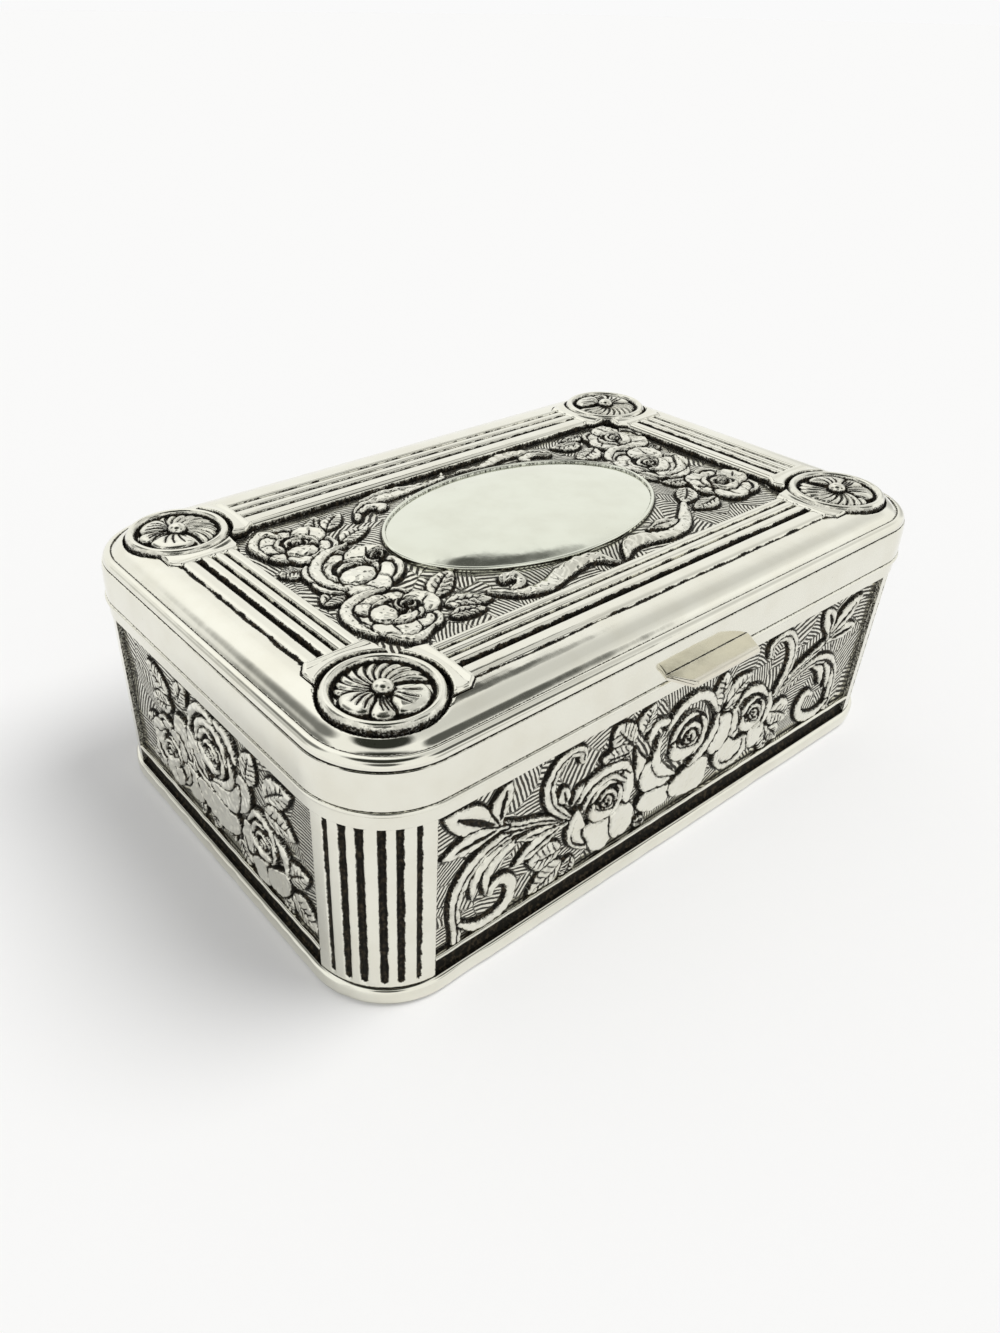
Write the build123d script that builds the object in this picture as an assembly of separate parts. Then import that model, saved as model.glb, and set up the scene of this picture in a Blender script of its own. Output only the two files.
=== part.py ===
from build123d import *
import math
import os

# A jewelry casket in plated pressed metal: a lined case on a moulded base, and a lid hinged at the back.
# Millimetres. The origin is the middle of the underside. The thumb tab faces -Y and the hinge +Y.
# An inset is a distance inwards from the outline of the lid, which is the largest outline of the box.

# Outline and heights
box_length = 165.0
box_width = 107.0
corner_radius = 17.4
rim_height = 46.0
lid_gap = 0.1

# Base rail, with the base plate and the felt pressed up into its underside
rail_height = 4.0
rail_width = 3.2
rail_round = 1.1
rail_strips = 2
rail_lift = 0.25
rebate_inset = 1.6
felt_thickness = 0.9
felt_margin = 0.3
plate_thickness = 1.0
solder_gap = 0.05

# Case frame: reeded corners, a band under the rim and a ledge over a channel above the rail
frame_inset = 0.8
frame_thickness = 1.4
band_inset = 0.5
band_height = 2.8
lip_inset = 1.5
lip_height = 2.0
post_margin = 0.5
ledge_low = 7.7
ledge_high = 8.9
ledge_inset = 0.55
channel_low = 4.3
channel_depth = 0.8

# Corner reeds: the grooves' angles either side of the corner's diagonal
groove_angles = (7.5, 17.5, 28.5)
groove_depth = 0.62
groove_low = 5.2
groove_high = 42.3

# Pressed panels, soldered behind the openings of the frame
panel_thickness = 0.8
panel_lap = 0.5
panel_sink = 0.3
relief_height = 1.3
leaf_height = 0.95
scroll_width = 2.6
relief_margin = 0.2

# Lining of the case
card_gap = 0.05
lining_thickness = 1.8
pad_clearance = 0.3
pad_height = 4.4
pad_crown = 0.8

# Lid: a skirt with a rolled hem, then a bead, a cove, a long ogee and a flat border
lid_wall = 1.0
hem_height = 0.9
hem_proud = 0.3
skirt_height = 8.8
skirt_draft = 0.5
bead_radius = 1.9
bead_step = 0.2
bead_strips = 3
ogee_start = 3.2
ogee_end = 7.3
ogee_rise = 1.7
ogee_strips = 2
border_rise = 0.2
deck_underside = 56.4
deck_thickness = 1.0

# Raised frame on the lid: four reeds along each side, ending in plain capitals
frame_start = 10.6
reed_widths = (4.5, 3.2, 2.6, 2.4)
reed_groove = 0.4
reed_bevel = 0.4
reed_low = 58.3
reed_high = 59.3
capital_high = 59.5
capital_reach = 13.5
capital_ease = 0.35

# Corner rosettes, seated in round recesses
rosette_inset = 17.0
rosette_radius = 10.5
rosette_seat = 57.5
rosette_clearance = 0.75
rim_section = 1.15
rim_top = 59.8
rosette_floor = 58.2
whorl_radius = 7.6
whorl_count = 10
whorl_high = 59.9
whorl_turn = 30.0
rosette_sides = 28
boss_radius = 2.0
boss_sides = 10
boss_top = 61.0

# Oval plaque
plaque_length = 70.6
plaque_width = 45.4
plaque_edge = 59.3
plaque_rim = 0.9
plaque_rim_rise = 0.35
plaque_crown = 0.9
plaque_slope = 9.0
plaque_sides = 36
plaque_seat_gap = 0.1

# Lining of the lid
lid_card_margin = 0.1
lid_card_thickness = 1.0
lid_pad_margin = 0.8
lid_pad_height = 4.0
skirt_lining_gap = 0.1
skirt_lining_thickness = 0.8
skirt_lining_low = 48.6
skirt_lining_high = 54.4

# Thumb tab: a folded strip let into a slot in the front of the skirt
tab_root = 24.6
tab_tip = 18.8
tab_reach = 5.0
tab_top = 48.8
tab_sheet = 0.6
tab_slit = 0.3
tab_fit = 0.05

# Hinge: two strip leaves behind the walls, rolled round one pin outside the back
hinge_length = 56.0
knuckle_count = 5
knuckle_gap = 0.15
knuckle_radius = 1.5
pin_radius = 0.8
pin_clearance = 0.05
pin_head = 0.6
strip_thickness = 0.5
strip_fit = 0.05
barrel_gap = 0.25
case_leaf_drop = 8.0
lid_leaf_rise = 5.5
open_angle = 100.0
heel_angle = 32.0
heel_thickness = 0.9
heel_gap = 0.05

# What follows from those sizes
half_length = box_length / 2
half_width = box_width / 2
centre_x = half_length - corner_radius
centre_y = half_width - corner_radius
frame_inner = frame_inset + frame_thickness
panel_low = ledge_high
panel_high = rim_height - band_height
panel_run_x = centre_x - post_margin
panel_run_y = centre_y - post_margin
panel_back = frame_inner + panel_thickness
lining_inset = panel_back + card_gap
lining_inner = lining_inset + lining_thickness
plate_low = felt_thickness
rebate_top = plate_low + plate_thickness
lid_low = rim_height + lid_gap
skirt_top = lid_low + skirt_height
bead_inset = hem_proud + skirt_draft + bead_step
bead_end = bead_inset + bead_radius
ogee_low = skirt_top + bead_radius + 0.1
border_height = ogee_low + ogee_rise
deck_top = deck_underside + deck_thickness
lid_card_inset = ogee_end + lid_card_margin
lid_pad_inset = ogee_end + lid_pad_margin
lid_leaf_inset = hem_proud + skirt_draft + lid_wall + strip_fit
skirt_lining_inset = lid_leaf_inset + strip_thickness + skirt_lining_gap
frame_width = sum(reed_widths)
frame_end = frame_start + frame_width
rosette_x = half_length - rosette_inset
rosette_y = half_width - rosette_inset
recess_radius = rosette_radius + rosette_clearance
hinge_y = half_width + barrel_gap + knuckle_radius
hinge_z = rim_height + lid_gap / 2
bore_radius = pin_radius + pin_clearance
knuckle_pitch = hinge_length / knuckle_count


def outline(inset):
    """The outline of the box, drawn in by an inset."""
    return RectangleRounded(box_length - 2 * inset, box_width - 2 * inset, corner_radius - inset)


def slab(inset, low, high):
    """A plate with the box's outline between two heights."""
    return Pos(0, 0, low) * extrude(outline(inset), amount=high - low)


def ring(outer, inner, low, high):
    """A wall with the box's outline, between two insets and two heights."""
    return slab(outer, low, high) - slab(inner, low, high)


def block(x_low, x_high, y_low, y_high, low, high):
    """A block between the given planes."""
    size = Box(x_high - x_low, y_high - y_low, high - low)
    return Pos((x_low + x_high) / 2, (y_low + y_high) / 2, (low + high) / 2) * size


def corners():
    """The signs of the four corners, with a name for each."""
    return {"front_left": (-1, -1), "front_right": (1, -1), "back_left": (-1, 1), "back_right": (1, 1)}


def strips(first, middle, last, count):
    """Points along the arc through three points, so that a moulding turns a corner in few faces."""
    arc = ThreePointArc(first, middle, last)
    points = []
    for step in range(count + 1):
        place = arc @ (step / count)
        points.append((place.X, place.Y))
    return points


def moulding(section):
    """Carry a section round the outline: straight along each side and turned about each corner."""
    corner = revolve(section, Axis.Z, 90)
    pieces = []
    for sign_x, sign_y in corners().values():
        quarter = math.degrees(math.atan2(sign_y, sign_x)) - 45
        pieces.append(Pos(sign_x * centre_x, sign_y * centre_y, 0) * Rot(0, 0, quarter) * corner)
    end_run = Pos(centre_x, -centre_y, 0) * extrude(section, amount=2 * centre_y, dir=(0, 1, 0))
    side_run = Pos(centre_y, -centre_x, 0) * extrude(section, amount=2 * centre_x, dir=(0, 1, 0))
    for turn in (0, 180):
        pieces.append(Rot(0, 0, turn) * end_run)
        pieces.append(Rot(0, 0, turn + 90) * side_run)
    return pieces[0] + pieces[1:]


def pad(inset, low, height, crown):
    """A stuffed pad with the box's outline: its sides draw in and its face is crowned."""
    side = corner_radius - inset
    core = inset + 9.0
    points = [(side - 9.0, low), (side - 0.9, low), (side, low + 0.4 * height), (side - 2.2, low + 0.95 * height),
              (side - 9.0, low + height + crown)]
    return moulding(Plane.XZ * make_face(Polyline(*points, close=True))) + slab(core, low, low + height + crown)


def crested(low, high):
    """A solid whose sides rise from one ring of points to another, where some points may be the same."""
    faces = [Face(Wire.make_polygon(low, close=True))]
    for index in range(len(low)):
        after = (index + 1) % len(low)
        for corner in ((low[index], low[after], high[after]), (low[index], high[after], high[index])):
            if len(set(corner)) == 3:
                faces.append(Face(Wire.make_polygon(corner, close=True)))
    top = [point for index, point in enumerate(high) if point != high[index - 1]]
    if len(set(top)) > 2 and len(set(top)) == len(top):
        faces.append(Face(Wire.make_polygon(top, close=True)))
    return Solid(Shell(faces))


def circle_points(radius, count, height, turn=0.0):
    """Evenly spaced points round a circle."""
    points = []
    for step in range(count):
        angle = math.radians(turn + 360 * step / count)
        points.append((radius * math.cos(angle), radius * math.sin(angle), height))
    return points


# Base


def make_base_rail():
    """The rounded foot rail, with a rebate under it for the plate and the felt."""
    bend = (1 - 0.5 ** 0.5) * rail_round
    nose = strips((corner_radius, rail_height - rail_round), (corner_radius - bend, rail_height - bend),
                  (corner_radius - rail_round, rail_height), rail_strips)
    points = [(corner_radius, rail_lift)] + nose
    points.append((corner_radius - rail_width, rail_height))
    points.append((corner_radius - rail_width, rebate_top))
    points.append((corner_radius - rebate_inset, rebate_top))
    points.append((corner_radius - rebate_inset, rail_lift))
    return moulding(Plane.XZ * make_face(Polyline(*points, close=True)))


def make_base_plate():
    return slab(rebate_inset + solder_gap, plate_low, rebate_top)


def make_base_felt():
    return slab(rebate_inset + felt_margin, 0, felt_thickness)


def make_floor_card():
    return slab(rail_width + solder_gap, rebate_top, rail_height)


# Case


def corner_grooves():
    """The grooves between the reeds of the four rounded corners."""
    cutters = []
    surface = corner_radius - frame_inset
    side_of_bar = 2 ** 0.5 * groove_depth
    for sign_x, sign_y in corners().values():
        diagonal = math.degrees(math.atan2(sign_y, sign_x))
        for angle in groove_angles:
            for side in (-1, 1):
                turn = math.radians(diagonal + side * angle)
                x = sign_x * centre_x + surface * math.cos(turn)
                y = sign_y * centre_y + surface * math.sin(turn)
                bar = Rot(0, 0, math.degrees(turn) + 45) * Box(side_of_bar, side_of_bar, groove_high - groove_low)
                cutters.append(Pos(x, y, (groove_low + groove_high) / 2) * bar)
    return cutters


def frame_side_cuts():
    """The panel openings, and the channels between the ledge and the rail."""
    cuts = []
    deep = 12.0
    channel_inner = frame_inset + channel_depth
    channel_high = ledge_low - 0.2
    for side in (-1, 1):
        y_face = side * half_width
        x_face = side * half_length
        cuts.append(Pos(0, y_face, (panel_low + panel_high) / 2)
                    * Box(2 * panel_run_x, deep, panel_high - panel_low))
        cuts.append(Pos(x_face, 0, (panel_low + panel_high) / 2)
                    * Box(deep, 2 * panel_run_y, panel_high - panel_low))
        cuts.append(Pos(0, y_face, (channel_low + channel_high) / 2)
                    * Box(2 * panel_run_x, 2 * channel_inner, channel_high - channel_low))
        cuts.append(Pos(x_face, 0, (channel_low + channel_high) / 2)
                    * Box(2 * channel_inner, 2 * panel_run_y, channel_high - channel_low))
    return cuts


def frame_ledges():
    """The bright ledge under each panel, standing a little proud of the corner posts."""
    bars = []
    middle = (ledge_low + ledge_high) / 2
    depth = frame_inner - ledge_inset
    for side in (-1, 1):
        y_bar = side * (half_width - (ledge_inset + frame_inner) / 2)
        x_bar = side * (half_length - (ledge_inset + frame_inner) / 2)
        bars.append(Pos(0, y_bar, middle) * Box(2 * panel_run_x, depth, ledge_high - ledge_low))
        bars.append(Pos(x_bar, 0, middle) * Box(depth, 2 * panel_run_y, ledge_high - ledge_low))
    return bars


def make_case_frame():
    """The case's frame: band, reeded corner posts and bottom member, with a lip inside the rim."""
    frame = ring(frame_inset, frame_inner, rail_height, rim_height)
    frame += ring(band_inset, frame_inner, rim_height - band_height, rim_height)
    frame += ring(lip_inset, frame_inner, rim_height, rim_height + lip_height)
    frame -= frame_side_cuts()
    frame += frame_ledges()
    frame -= corner_grooves()
    reach = hinge_length / 2 + strip_fit
    notch_floor = rim_height - strip_thickness - strip_fit
    y_inside = half_width - frame_inner - 1
    frame -= block(-reach, reach, y_inside, half_width + 1, notch_floor, rim_height + lip_height + 1)
    return frame


# Relief on the panels and the lid's field


def petal_ring(radius, count, turn, height):
    """Points round a ring of petals seen from above, three to a petal."""
    points = []
    for step in range(count):
        for share, reach in ((0.0, 0.7), (0.3, 1.0), (0.7, 1.0)):
            angle = math.radians(turn + 360 * (step + share) / count)
            points.append((reach * radius * math.cos(angle), reach * radius * math.sin(angle), height))
    return points


def rose(radius, height):
    """An open rose: three rings of petals, each inside the last and standing higher."""
    tiers = []
    for share, count, turn, rise in ((1.0, 5, 0, 0.55), (0.62, 4, 36, 0.9), (0.32, 2, 0, 1.0)):
        low = petal_ring(share * radius, count, turn, 0.0)
        high = petal_ring(0.8 * share * radius, count, turn, rise * height)
        tiers.append(crested(low, high))
    return tiers[0] + tiers[1:]


def leaf(length, width, height):
    """A pointed leaf along +X from its stalk at the origin, its halves sloping up to a midrib."""
    stalk = (0, 0, 0)
    tip = (length, 0, 0)
    left = [(0.3 * length, 0.5 * width, 0), (0.7 * length, 0.38 * width, 0)]
    right = [(x, -y, z) for x, y, z in reversed(left)]
    first = (0.2 * length, 0, height)
    last = (0.8 * length, 0, 0.7 * height)
    return crested([stalk, *left, tip, *right], [first, first, last, last, last, first])


def scroll(points, width, height):
    """A curling tendril: a ridged band along a smooth line through the points, tapered at its ends."""
    line = Spline(*points)
    count = 2 * (len(points) - 1)
    left = []
    right = []
    ridge = []
    for step in range(1, count):
        place = line @ (step / count)
        ahead = line % (step / count)
        half = 0.5 * width * (1 - 0.6 * abs(2 * step / count - 1) ** 3)
        left.append((place.X - half * ahead.Y, place.Y + half * ahead.X, 0))
        right.append((place.X + half * ahead.Y, place.Y - half * ahead.X, 0))
        ridge.append((place.X, place.Y, height))
    start = tuple(line @ 0)
    stop = tuple(line @ 1)
    low = [start, *left, stop, *reversed(right)]
    return crested(low, [ridge[0], *ridge, ridge[-1], *reversed(ridge)])


panel_roses = {
    "long": ((-21.8, 21.2, 10.2), (2.6, 25.4, 12.2), (23.6, 21.2, 9.8)),
    "short": ((-2.6, 27.4, 13.2), (16.6, 18.8, 8.9), (-21.8, 19.6, 8.6)),
}

panel_leaves = {
    "long": ((-32.6, 17.8, 172, 9.4, 6.6), (-32.1, 14.2, 203, 10.0, 6.6),
             (-14.6, 34.6, 132, 9.6, 6.6), (-14.7, 33.2, 168, 9.6, 5.0), (13.5, 31.2, 96, 9.0, 5.8),
             (14.5, 31.0, 30, 9.6, 5.6), (32.9, 20.6, -30, 10.4, 7.0), (32.5, 16.8, -82, 8.0, 5.0),
             (-48.6, 32.2, 145, 17.0, 6.4), (-49.1, 32.7, 82, 10.5, 5.0), (-47.6, 32.0, 178, 15.5, 4.6),
             (-31.0, 23.8, 193, 14.5, 4.2), (50.4, 32.0, 3, 13.0, 4.2), (50.4, 32.4, 36, 14.5, 5.2),
             (51.3, 32.6, 110, 10.8, 4.8)),
    "short": ((11.6, 32.2, 74, 9.4, 5.8), (17.4, 32.8, 36, 12.6, 6.2), (17.2, 30.0, 0, 11.0, 6.0),
              (24.4, 18.2, 38, 9.4, 5.2), (25.2, 15.2, -24, 9.4, 6.4), (-15.2, 35.2, 60, 7.6, 5.2),
              (-19.6, 34.8, 152, 10.0, 5.6), (-18.8, 32.6, 190, 9.4, 5.0), (-25.8, 22.2, 172, 7.0, 5.0),
              (-25.6, 16.2, 210, 8.6, 5.2)),
}

# How far each spray is moved along its panel and up
panel_shift = {"long": (-2.3, -0.6), "short": (2.9, -0.2)}

panel_scrolls = {
    "long": (((-33, 25), (-43, 29.4), (-55, 27.5), (-59.7, 18.2), (-59.1, 9.2)),
             ((-58.6, 14.2), (-50.6, 10.4), (-45.7, 16), (-50.4, 19.2)),
             ((-47, 28.2), (-54.6, 24.2), (-55.7, 18.8)),
             ((-30.6, 24.2), (-36.7, 31.2), (-36.1, 39.2), (-30, 40.2)),
             ((-33, 25.2), (-42, 29.6), (-49.1, 32.6)),
             ((32.9, 24.6), (43.9, 27.8), (55.4, 25.2), (59.3, 17), (59.5, 9.7)),
             ((58.9, 12.7), (50.9, 11), (45.9, 16.8), (50.3, 18.2)),
             ((48.4, 26.6), (54.6, 23.4), (56.1, 17.8)),
             ((32.4, 23.8), (37.1, 31.8), (34.5, 39.8), (28, 40.2)),
             ((34.9, 27), (43, 30.2), (51.5, 32.6))),
    "short": (),
}


def panel_relief(kind, opening):
    """The flowers, leaves and scrolls of one panel, kept inside its opening."""
    pieces = []
    for x, y, radius in panel_roses[kind]:
        pieces.append(Pos(x, y, 0) * rose(radius, relief_height))
    for x, y, turn, length, width in panel_leaves[kind]:
        pieces.append(Pos(x, y, 0) * Rot(0, 0, turn) * leaf(length, width, leaf_height))
    for points in panel_scrolls[kind]:
        pieces.append(scroll(points, scroll_width, leaf_height))
    return Pos(*panel_shift[kind], 0) * (pieces[0] + pieces[1:]) & opening


def make_panel(kind, run):
    """A pressed panel in its own plane: a plate, its raised ground in the opening, and the relief."""
    tall = panel_high - panel_low
    middle = (panel_low + panel_high) / 2
    plate = Pos(0, middle, -panel_thickness / 2) * Box(2 * (run + panel_lap), tall + 2 * panel_lap, panel_thickness)
    ground = Pos(0, middle, panel_sink / 2) * Box(2 * run, tall, panel_sink)
    opening = Pos(0, middle, relief_height / 2) * Box(2 * run - 2 * relief_margin, tall, relief_height)
    return plate + ground + Pos(0, 0, panel_sink) * panel_relief(kind, opening)


def make_panels():
    """The four panels, each stood up behind its opening with its relief outwards."""
    long_panel = make_panel("long", panel_run_x)
    short_panel = make_panel("short", panel_run_y)
    face_y = half_width - frame_inner
    face_x = half_length - frame_inner
    upright = Rot(90, 0, 0)
    return {
        "front_panel": Pos(0, -face_y, 0) * upright * long_panel,
        "back_panel": Pos(0, face_y, 0) * Rot(0, 0, 180) * upright * long_panel,
        "left_panel": Pos(-face_x, 0, 0) * Rot(0, 0, -90) * upright * short_panel,
        "right_panel": Pos(face_x, 0, 0) * Rot(0, 0, 90) * upright * short_panel,
    }


# Lining of the case


def make_wall_lining():
    """The covered card strip bent round inside the case, relieved at the back for the hinge leaf."""
    lining = ring(lining_inset, lining_inner, rail_height, rim_height)
    reach = hinge_length / 2 + 0.5
    y_low = half_width - panel_back - strip_thickness - 2 * card_gap
    low = rim_height - case_leaf_drop - 0.5
    return lining - block(-reach, reach, y_low, half_width, low, rim_height + 1)


def make_floor_pad():
    return pad(lining_inner + pad_clearance, rail_height + card_gap, pad_height - pad_crown, pad_crown)


# Lid


def lid_profile():
    """The section of the lid's side: X is the distance from the corner's centre, Y the height."""
    hem_top = lid_low + hem_height
    skirt_inset = hem_proud + skirt_draft
    start = (corner_radius - hem_proud, lid_low)
    hem_end = (corner_radius - hem_proud, hem_top)
    skirt_end = (corner_radius - skirt_inset, skirt_top)
    bead_start = (corner_radius - bead_inset, skirt_top)
    bead_middle = 0.5 ** 0.5 * bead_radius
    bead_mid = (corner_radius - bead_end + bead_middle, skirt_top + bead_middle)
    bead_stop = (corner_radius - bead_end, skirt_top + bead_radius)
    ogee_first = (corner_radius - ogee_start, ogee_low)
    ogee_mid = (corner_radius - 0.45 * ogee_start - 0.55 * ogee_end + 0.35, ogee_low + 0.8 * ogee_rise)
    ogee_last = (corner_radius - ogee_end, border_height)
    border_end = (corner_radius - frame_start, border_height + border_rise)
    under_end = (corner_radius - frame_start, deck_underside)
    under_bend = (corner_radius - ogee_end, deck_underside)
    under_skirt = (corner_radius - skirt_inset - lid_wall, skirt_top - 0.4)
    inside_low = (corner_radius - hem_proud - lid_wall, lid_low)
    points = [start, (corner_radius, (lid_low + hem_top) / 2), hem_end, skirt_end]
    points += strips(bead_start, bead_mid, bead_stop, bead_strips)
    points += strips(ogee_first, ogee_mid, ogee_last, ogee_strips)
    points += [border_end, under_end, under_bend, under_skirt, inside_low]
    return Plane.XZ * make_face(Polyline(*points, close=True))


def reed_section(widths):
    """The section of the raised frame: X is the inset, Y the height, with a flat-topped reed for each width."""
    seat = deck_underside + 0.5
    points = [(frame_start, seat), (frame_start, reed_low)]
    inset = frame_start
    for width in widths:
        low = inset + reed_groove / 2
        high = inset + width - reed_groove / 2
        points += [(low, reed_low), (low + reed_bevel, reed_high), (high - reed_bevel, reed_high), (high, reed_low)]
        inset += width
    points += [(frame_end, reed_low), (frame_end, seat)]
    return Plane.XZ * make_face(Polyline(*points, close=True))


def frame_bars():
    """The four reeded bars, and a plain capital at each end of each bar."""
    narrow_outside = reed_widths[::-1]
    bars = []
    for half_run, half_across, turn, widths in ((rosette_x, half_width, 90, reed_widths),
                                                (rosette_y, half_length, 180, narrow_outside),
                                                (rosette_x, half_width, 270, narrow_outside),
                                                (rosette_y, half_length, 0, reed_widths)):
        reach = half_run - capital_reach
        reeds = Pos(-half_across, -reach, 0) * extrude(reed_section(widths), amount=2 * reach, dir=(0, 1, 0))
        x_low = -half_across + frame_start
        x_high = -half_across + frame_end
        capital = block(x_low, x_high, reach, half_run - 0.55 * recess_radius, deck_underside + 0.5, capital_high)
        capital = chamfer(capital.edges().group_by(Axis.Z)[-1], capital_ease)
        spin = Rot(0, 0, turn)
        bars.append(spin * reeds)
        bars.append(spin * capital)
        bars.append(spin * mirror(capital, Plane.XZ))
    return bars


field_roses = ((-48.0, 17.4, 8.6), (-46.4, 1.4, 10.2), (-48.4, -16.6, 9.0),
               (51.0, 19.6, 8.2), (46.6, 2.8, 10.2), (50.6, -15.6, 8.4))

field_leaves = ((-39.4, 14.0, 10, 8.4, 5.2), (-41.4, 19.4, 62, 9.4, 4.6), (-38.8, 20.4, 36, 8.8, 4.4),
                (-38.4, -16.0, 28, 9.4, 5.0), (-38.6, -19.4, -24, 9.8, 5.0), (42.6, 18.4, 200, 11.0, 5.6),
                (41.6, 22.4, 162, 9.0, 4.8), (41.6, -12.0, 215, 9.4, 5.0), (43.0, -20.0, 184, 9.4, 4.6))

field_scrolls = (((-30.4, 20.6), (-21, 26.2), (-11, 25.8), (-1, 27.4)),
                 ((3.6, 27), (14, 26.8), (24, 26.8), (30, 22.6)),
                 ((-28.6, -21.4), (-18, -26), (-9, -24.6), (-0.4, -27.4)),
                 ((3.2, -28), (10, -25), (19, -26), (28, -23), (33.4, -18)))


def field_relief():
    """The sprays and scrolls round the plaque."""
    pieces = []
    for x, y, radius in field_roses:
        pieces.append(Pos(x, y, deck_top) * rose(radius, relief_height))
    for x, y, turn, length, width in field_leaves:
        pieces.append(Pos(x, y, deck_top) * Rot(0, 0, turn) * leaf(length, width, leaf_height))
    for points in field_scrolls:
        pieces.append(Pos(0, 0, deck_top) * scroll(points, scroll_width, leaf_height))
    seat = plaque_block(-plaque_seat_gap, deck_top, deck_top + relief_height)
    field = block(-half_length + frame_end, half_length - frame_end, -half_width + frame_end,
                  half_width - frame_end, deck_top, deck_top + relief_height)
    return (pieces[0] + pieces[1:]) & (field - seat)


def make_lid_shell():
    """The lid: its moulded side, the deck inside the border, the raised frame and the recesses."""
    shell = moulding(lid_profile())
    shell += slab(frame_start, deck_underside, deck_top)
    shell += frame_bars()
    shell += field_relief()
    for sign_x, sign_y in corners().values():
        recess = crested(circle_points(recess_radius, rosette_sides, rosette_seat),
                         circle_points(recess_radius, rosette_sides, rosette_seat + 5))
        shell -= Pos(sign_x * rosette_x, sign_y * rosette_y, 0) * recess
    shell -= tab_slot()
    reach = hinge_length / 2 + strip_fit
    y_inside = half_width - hem_proud - lid_wall - 1
    notch_top = lid_low + strip_thickness + strip_fit
    return shell - block(-reach, reach, y_inside, half_width + 1, rim_height, notch_top)


# Rosettes and plaque


def rosette_body():
    """The body of a rosette: an upright edge, a raised rim, a sunk floor and a boss."""
    rim_low = rim_top - rim_section
    crest = rosette_radius - 0.9 * rim_section
    inside = rosette_radius - 2.3 * rim_section
    edge = crested(circle_points(rosette_radius, rosette_sides, rosette_seat),
                   circle_points(rosette_radius, rosette_sides, rim_low))
    rim = crested(circle_points(rosette_radius, rosette_sides, rim_low),
                  circle_points(crest, rosette_sides, rim_top))
    hollow = crested(circle_points(inside, rosette_sides, rosette_floor),
                     circle_points(crest, rosette_sides, rim_top))
    neck = crested(circle_points(boss_radius, boss_sides, rosette_floor),
                   circle_points(0.6 * boss_radius, boss_sides, boss_top - 0.35))
    cap = crested(circle_points(0.6 * boss_radius, boss_sides, boss_top - 0.35), [(0, 0, boss_top)] * boss_sides)
    return edge + rim - hollow + neck + cap


def whorl_petal():
    """One petal of the whorl: its sides rise to a curved crest that falls towards the rim."""
    room = 180 / whorl_count
    stations = ((0.95 * boss_radius, 0.0, 0.4, 1.0), (0.6 * whorl_radius, 0.4, 0.8, 0.9),
                (0.92 * whorl_radius, 0.85, 0.8, 0.45))
    left = []
    right = []
    crest = []
    for reach, bend, spread, rise in stations:
        middle = whorl_turn * bend
        for side, row in ((-1, left), (1, right)):
            angle = math.radians(middle + side * spread * room)
            row.append((reach * math.cos(angle), reach * math.sin(angle), rosette_floor))
        angle = math.radians(middle)
        height = rosette_floor + rise * (whorl_high - rosette_floor)
        crest.append((reach * math.cos(angle), reach * math.sin(angle), height))
    tip_angle = math.radians(whorl_turn)
    tip = (whorl_radius * math.cos(tip_angle), whorl_radius * math.sin(tip_angle), rosette_floor)
    return crested([*left, tip, *reversed(right)], [*crest, crest[-1], *reversed(crest)])


def rosette_whorl():
    """The swirled petals round the boss."""
    petal = whorl_petal()
    return [Rot(0, 0, 360 * step / whorl_count) * petal for step in range(whorl_count)]


def make_rosettes():
    """One rosette for each corner, turned so that each faces its own corner."""
    rosette = rosette_body() + rosette_whorl()
    nodes = {}
    for name, (sign_x, sign_y) in corners().items():
        turn = math.degrees(math.atan2(sign_y, sign_x)) + 135
        nodes["rosette_" + name] = Pos(sign_x * rosette_x, sign_y * rosette_y, 0) * Rot(0, 0, turn) * rosette
    return nodes


def plaque_points(inset, height):
    """Points round the plaque's outline, drawn in by an inset."""
    points = []
    for step in range(plaque_sides):
        angle = 2 * math.pi * step / plaque_sides
        x = (plaque_length / 2 - inset) * math.cos(angle)
        y = (plaque_width / 2 - inset) * math.sin(angle)
        points.append((x, y, height))
    return points


def plaque_block(inset, low, high):
    """An upright oval block between two heights."""
    return crested(plaque_points(inset, low), plaque_points(inset, high))


def make_plaque():
    """The bare oval plaque: an upright edge, a thin raised rim and a low crown."""
    plaque = plaque_block(0, deck_top, plaque_edge + plaque_rim_rise)
    plaque -= plaque_block(plaque_rim, plaque_edge, plaque_edge + plaque_rim_rise)
    crown = crested(plaque_points(plaque_rim + 0.4, plaque_edge),
                    plaque_points(plaque_rim + plaque_slope, plaque_edge + plaque_crown))
    return plaque + crown


# Lining of the lid


def make_lid_card():
    low = deck_underside - card_gap - lid_card_thickness
    return slab(lid_card_inset, low, deck_underside - card_gap)


def make_lid_pad():
    """The stuffed pad under the lid, made face up and then turned over."""
    ceiling = deck_underside - 2 * card_gap - lid_card_thickness
    upright = pad(lid_pad_inset, 0, lid_pad_height - pad_crown, pad_crown)
    return Pos(0, 0, ceiling) * Rot(180, 0, 0) * upright


def make_skirt_lining():
    """The covered strip bent round inside the lid's skirt."""
    return ring(skirt_lining_inset, skirt_lining_inset + skirt_lining_thickness, skirt_lining_low, skirt_lining_high)


# Thumb tab


def tab_outline(margin):
    """The tab seen from above, grown by a margin, with its root let into the skirt."""
    root_y = -half_width + hem_proud + 0.85 * lid_wall
    face_y = -half_width
    tip_y = -half_width - tab_reach - margin
    root = tab_root / 2 + margin
    tip = tab_tip / 2 + margin
    return make_face(Polyline((-root, root_y), (-root, face_y), (-tip, tip_y), (tip, tip_y), (root, face_y),
                              (root, root_y), close=True))


def tab_height():
    return 2 * tab_sheet + tab_slit


def tab_slot():
    """The slot in the skirt that the tab's root sits in."""
    low = tab_top - tab_height() - tab_fit
    return Pos(0, 0, low) * extrude(tab_outline(tab_fit), amount=tab_height() + 2 * tab_fit)


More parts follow.
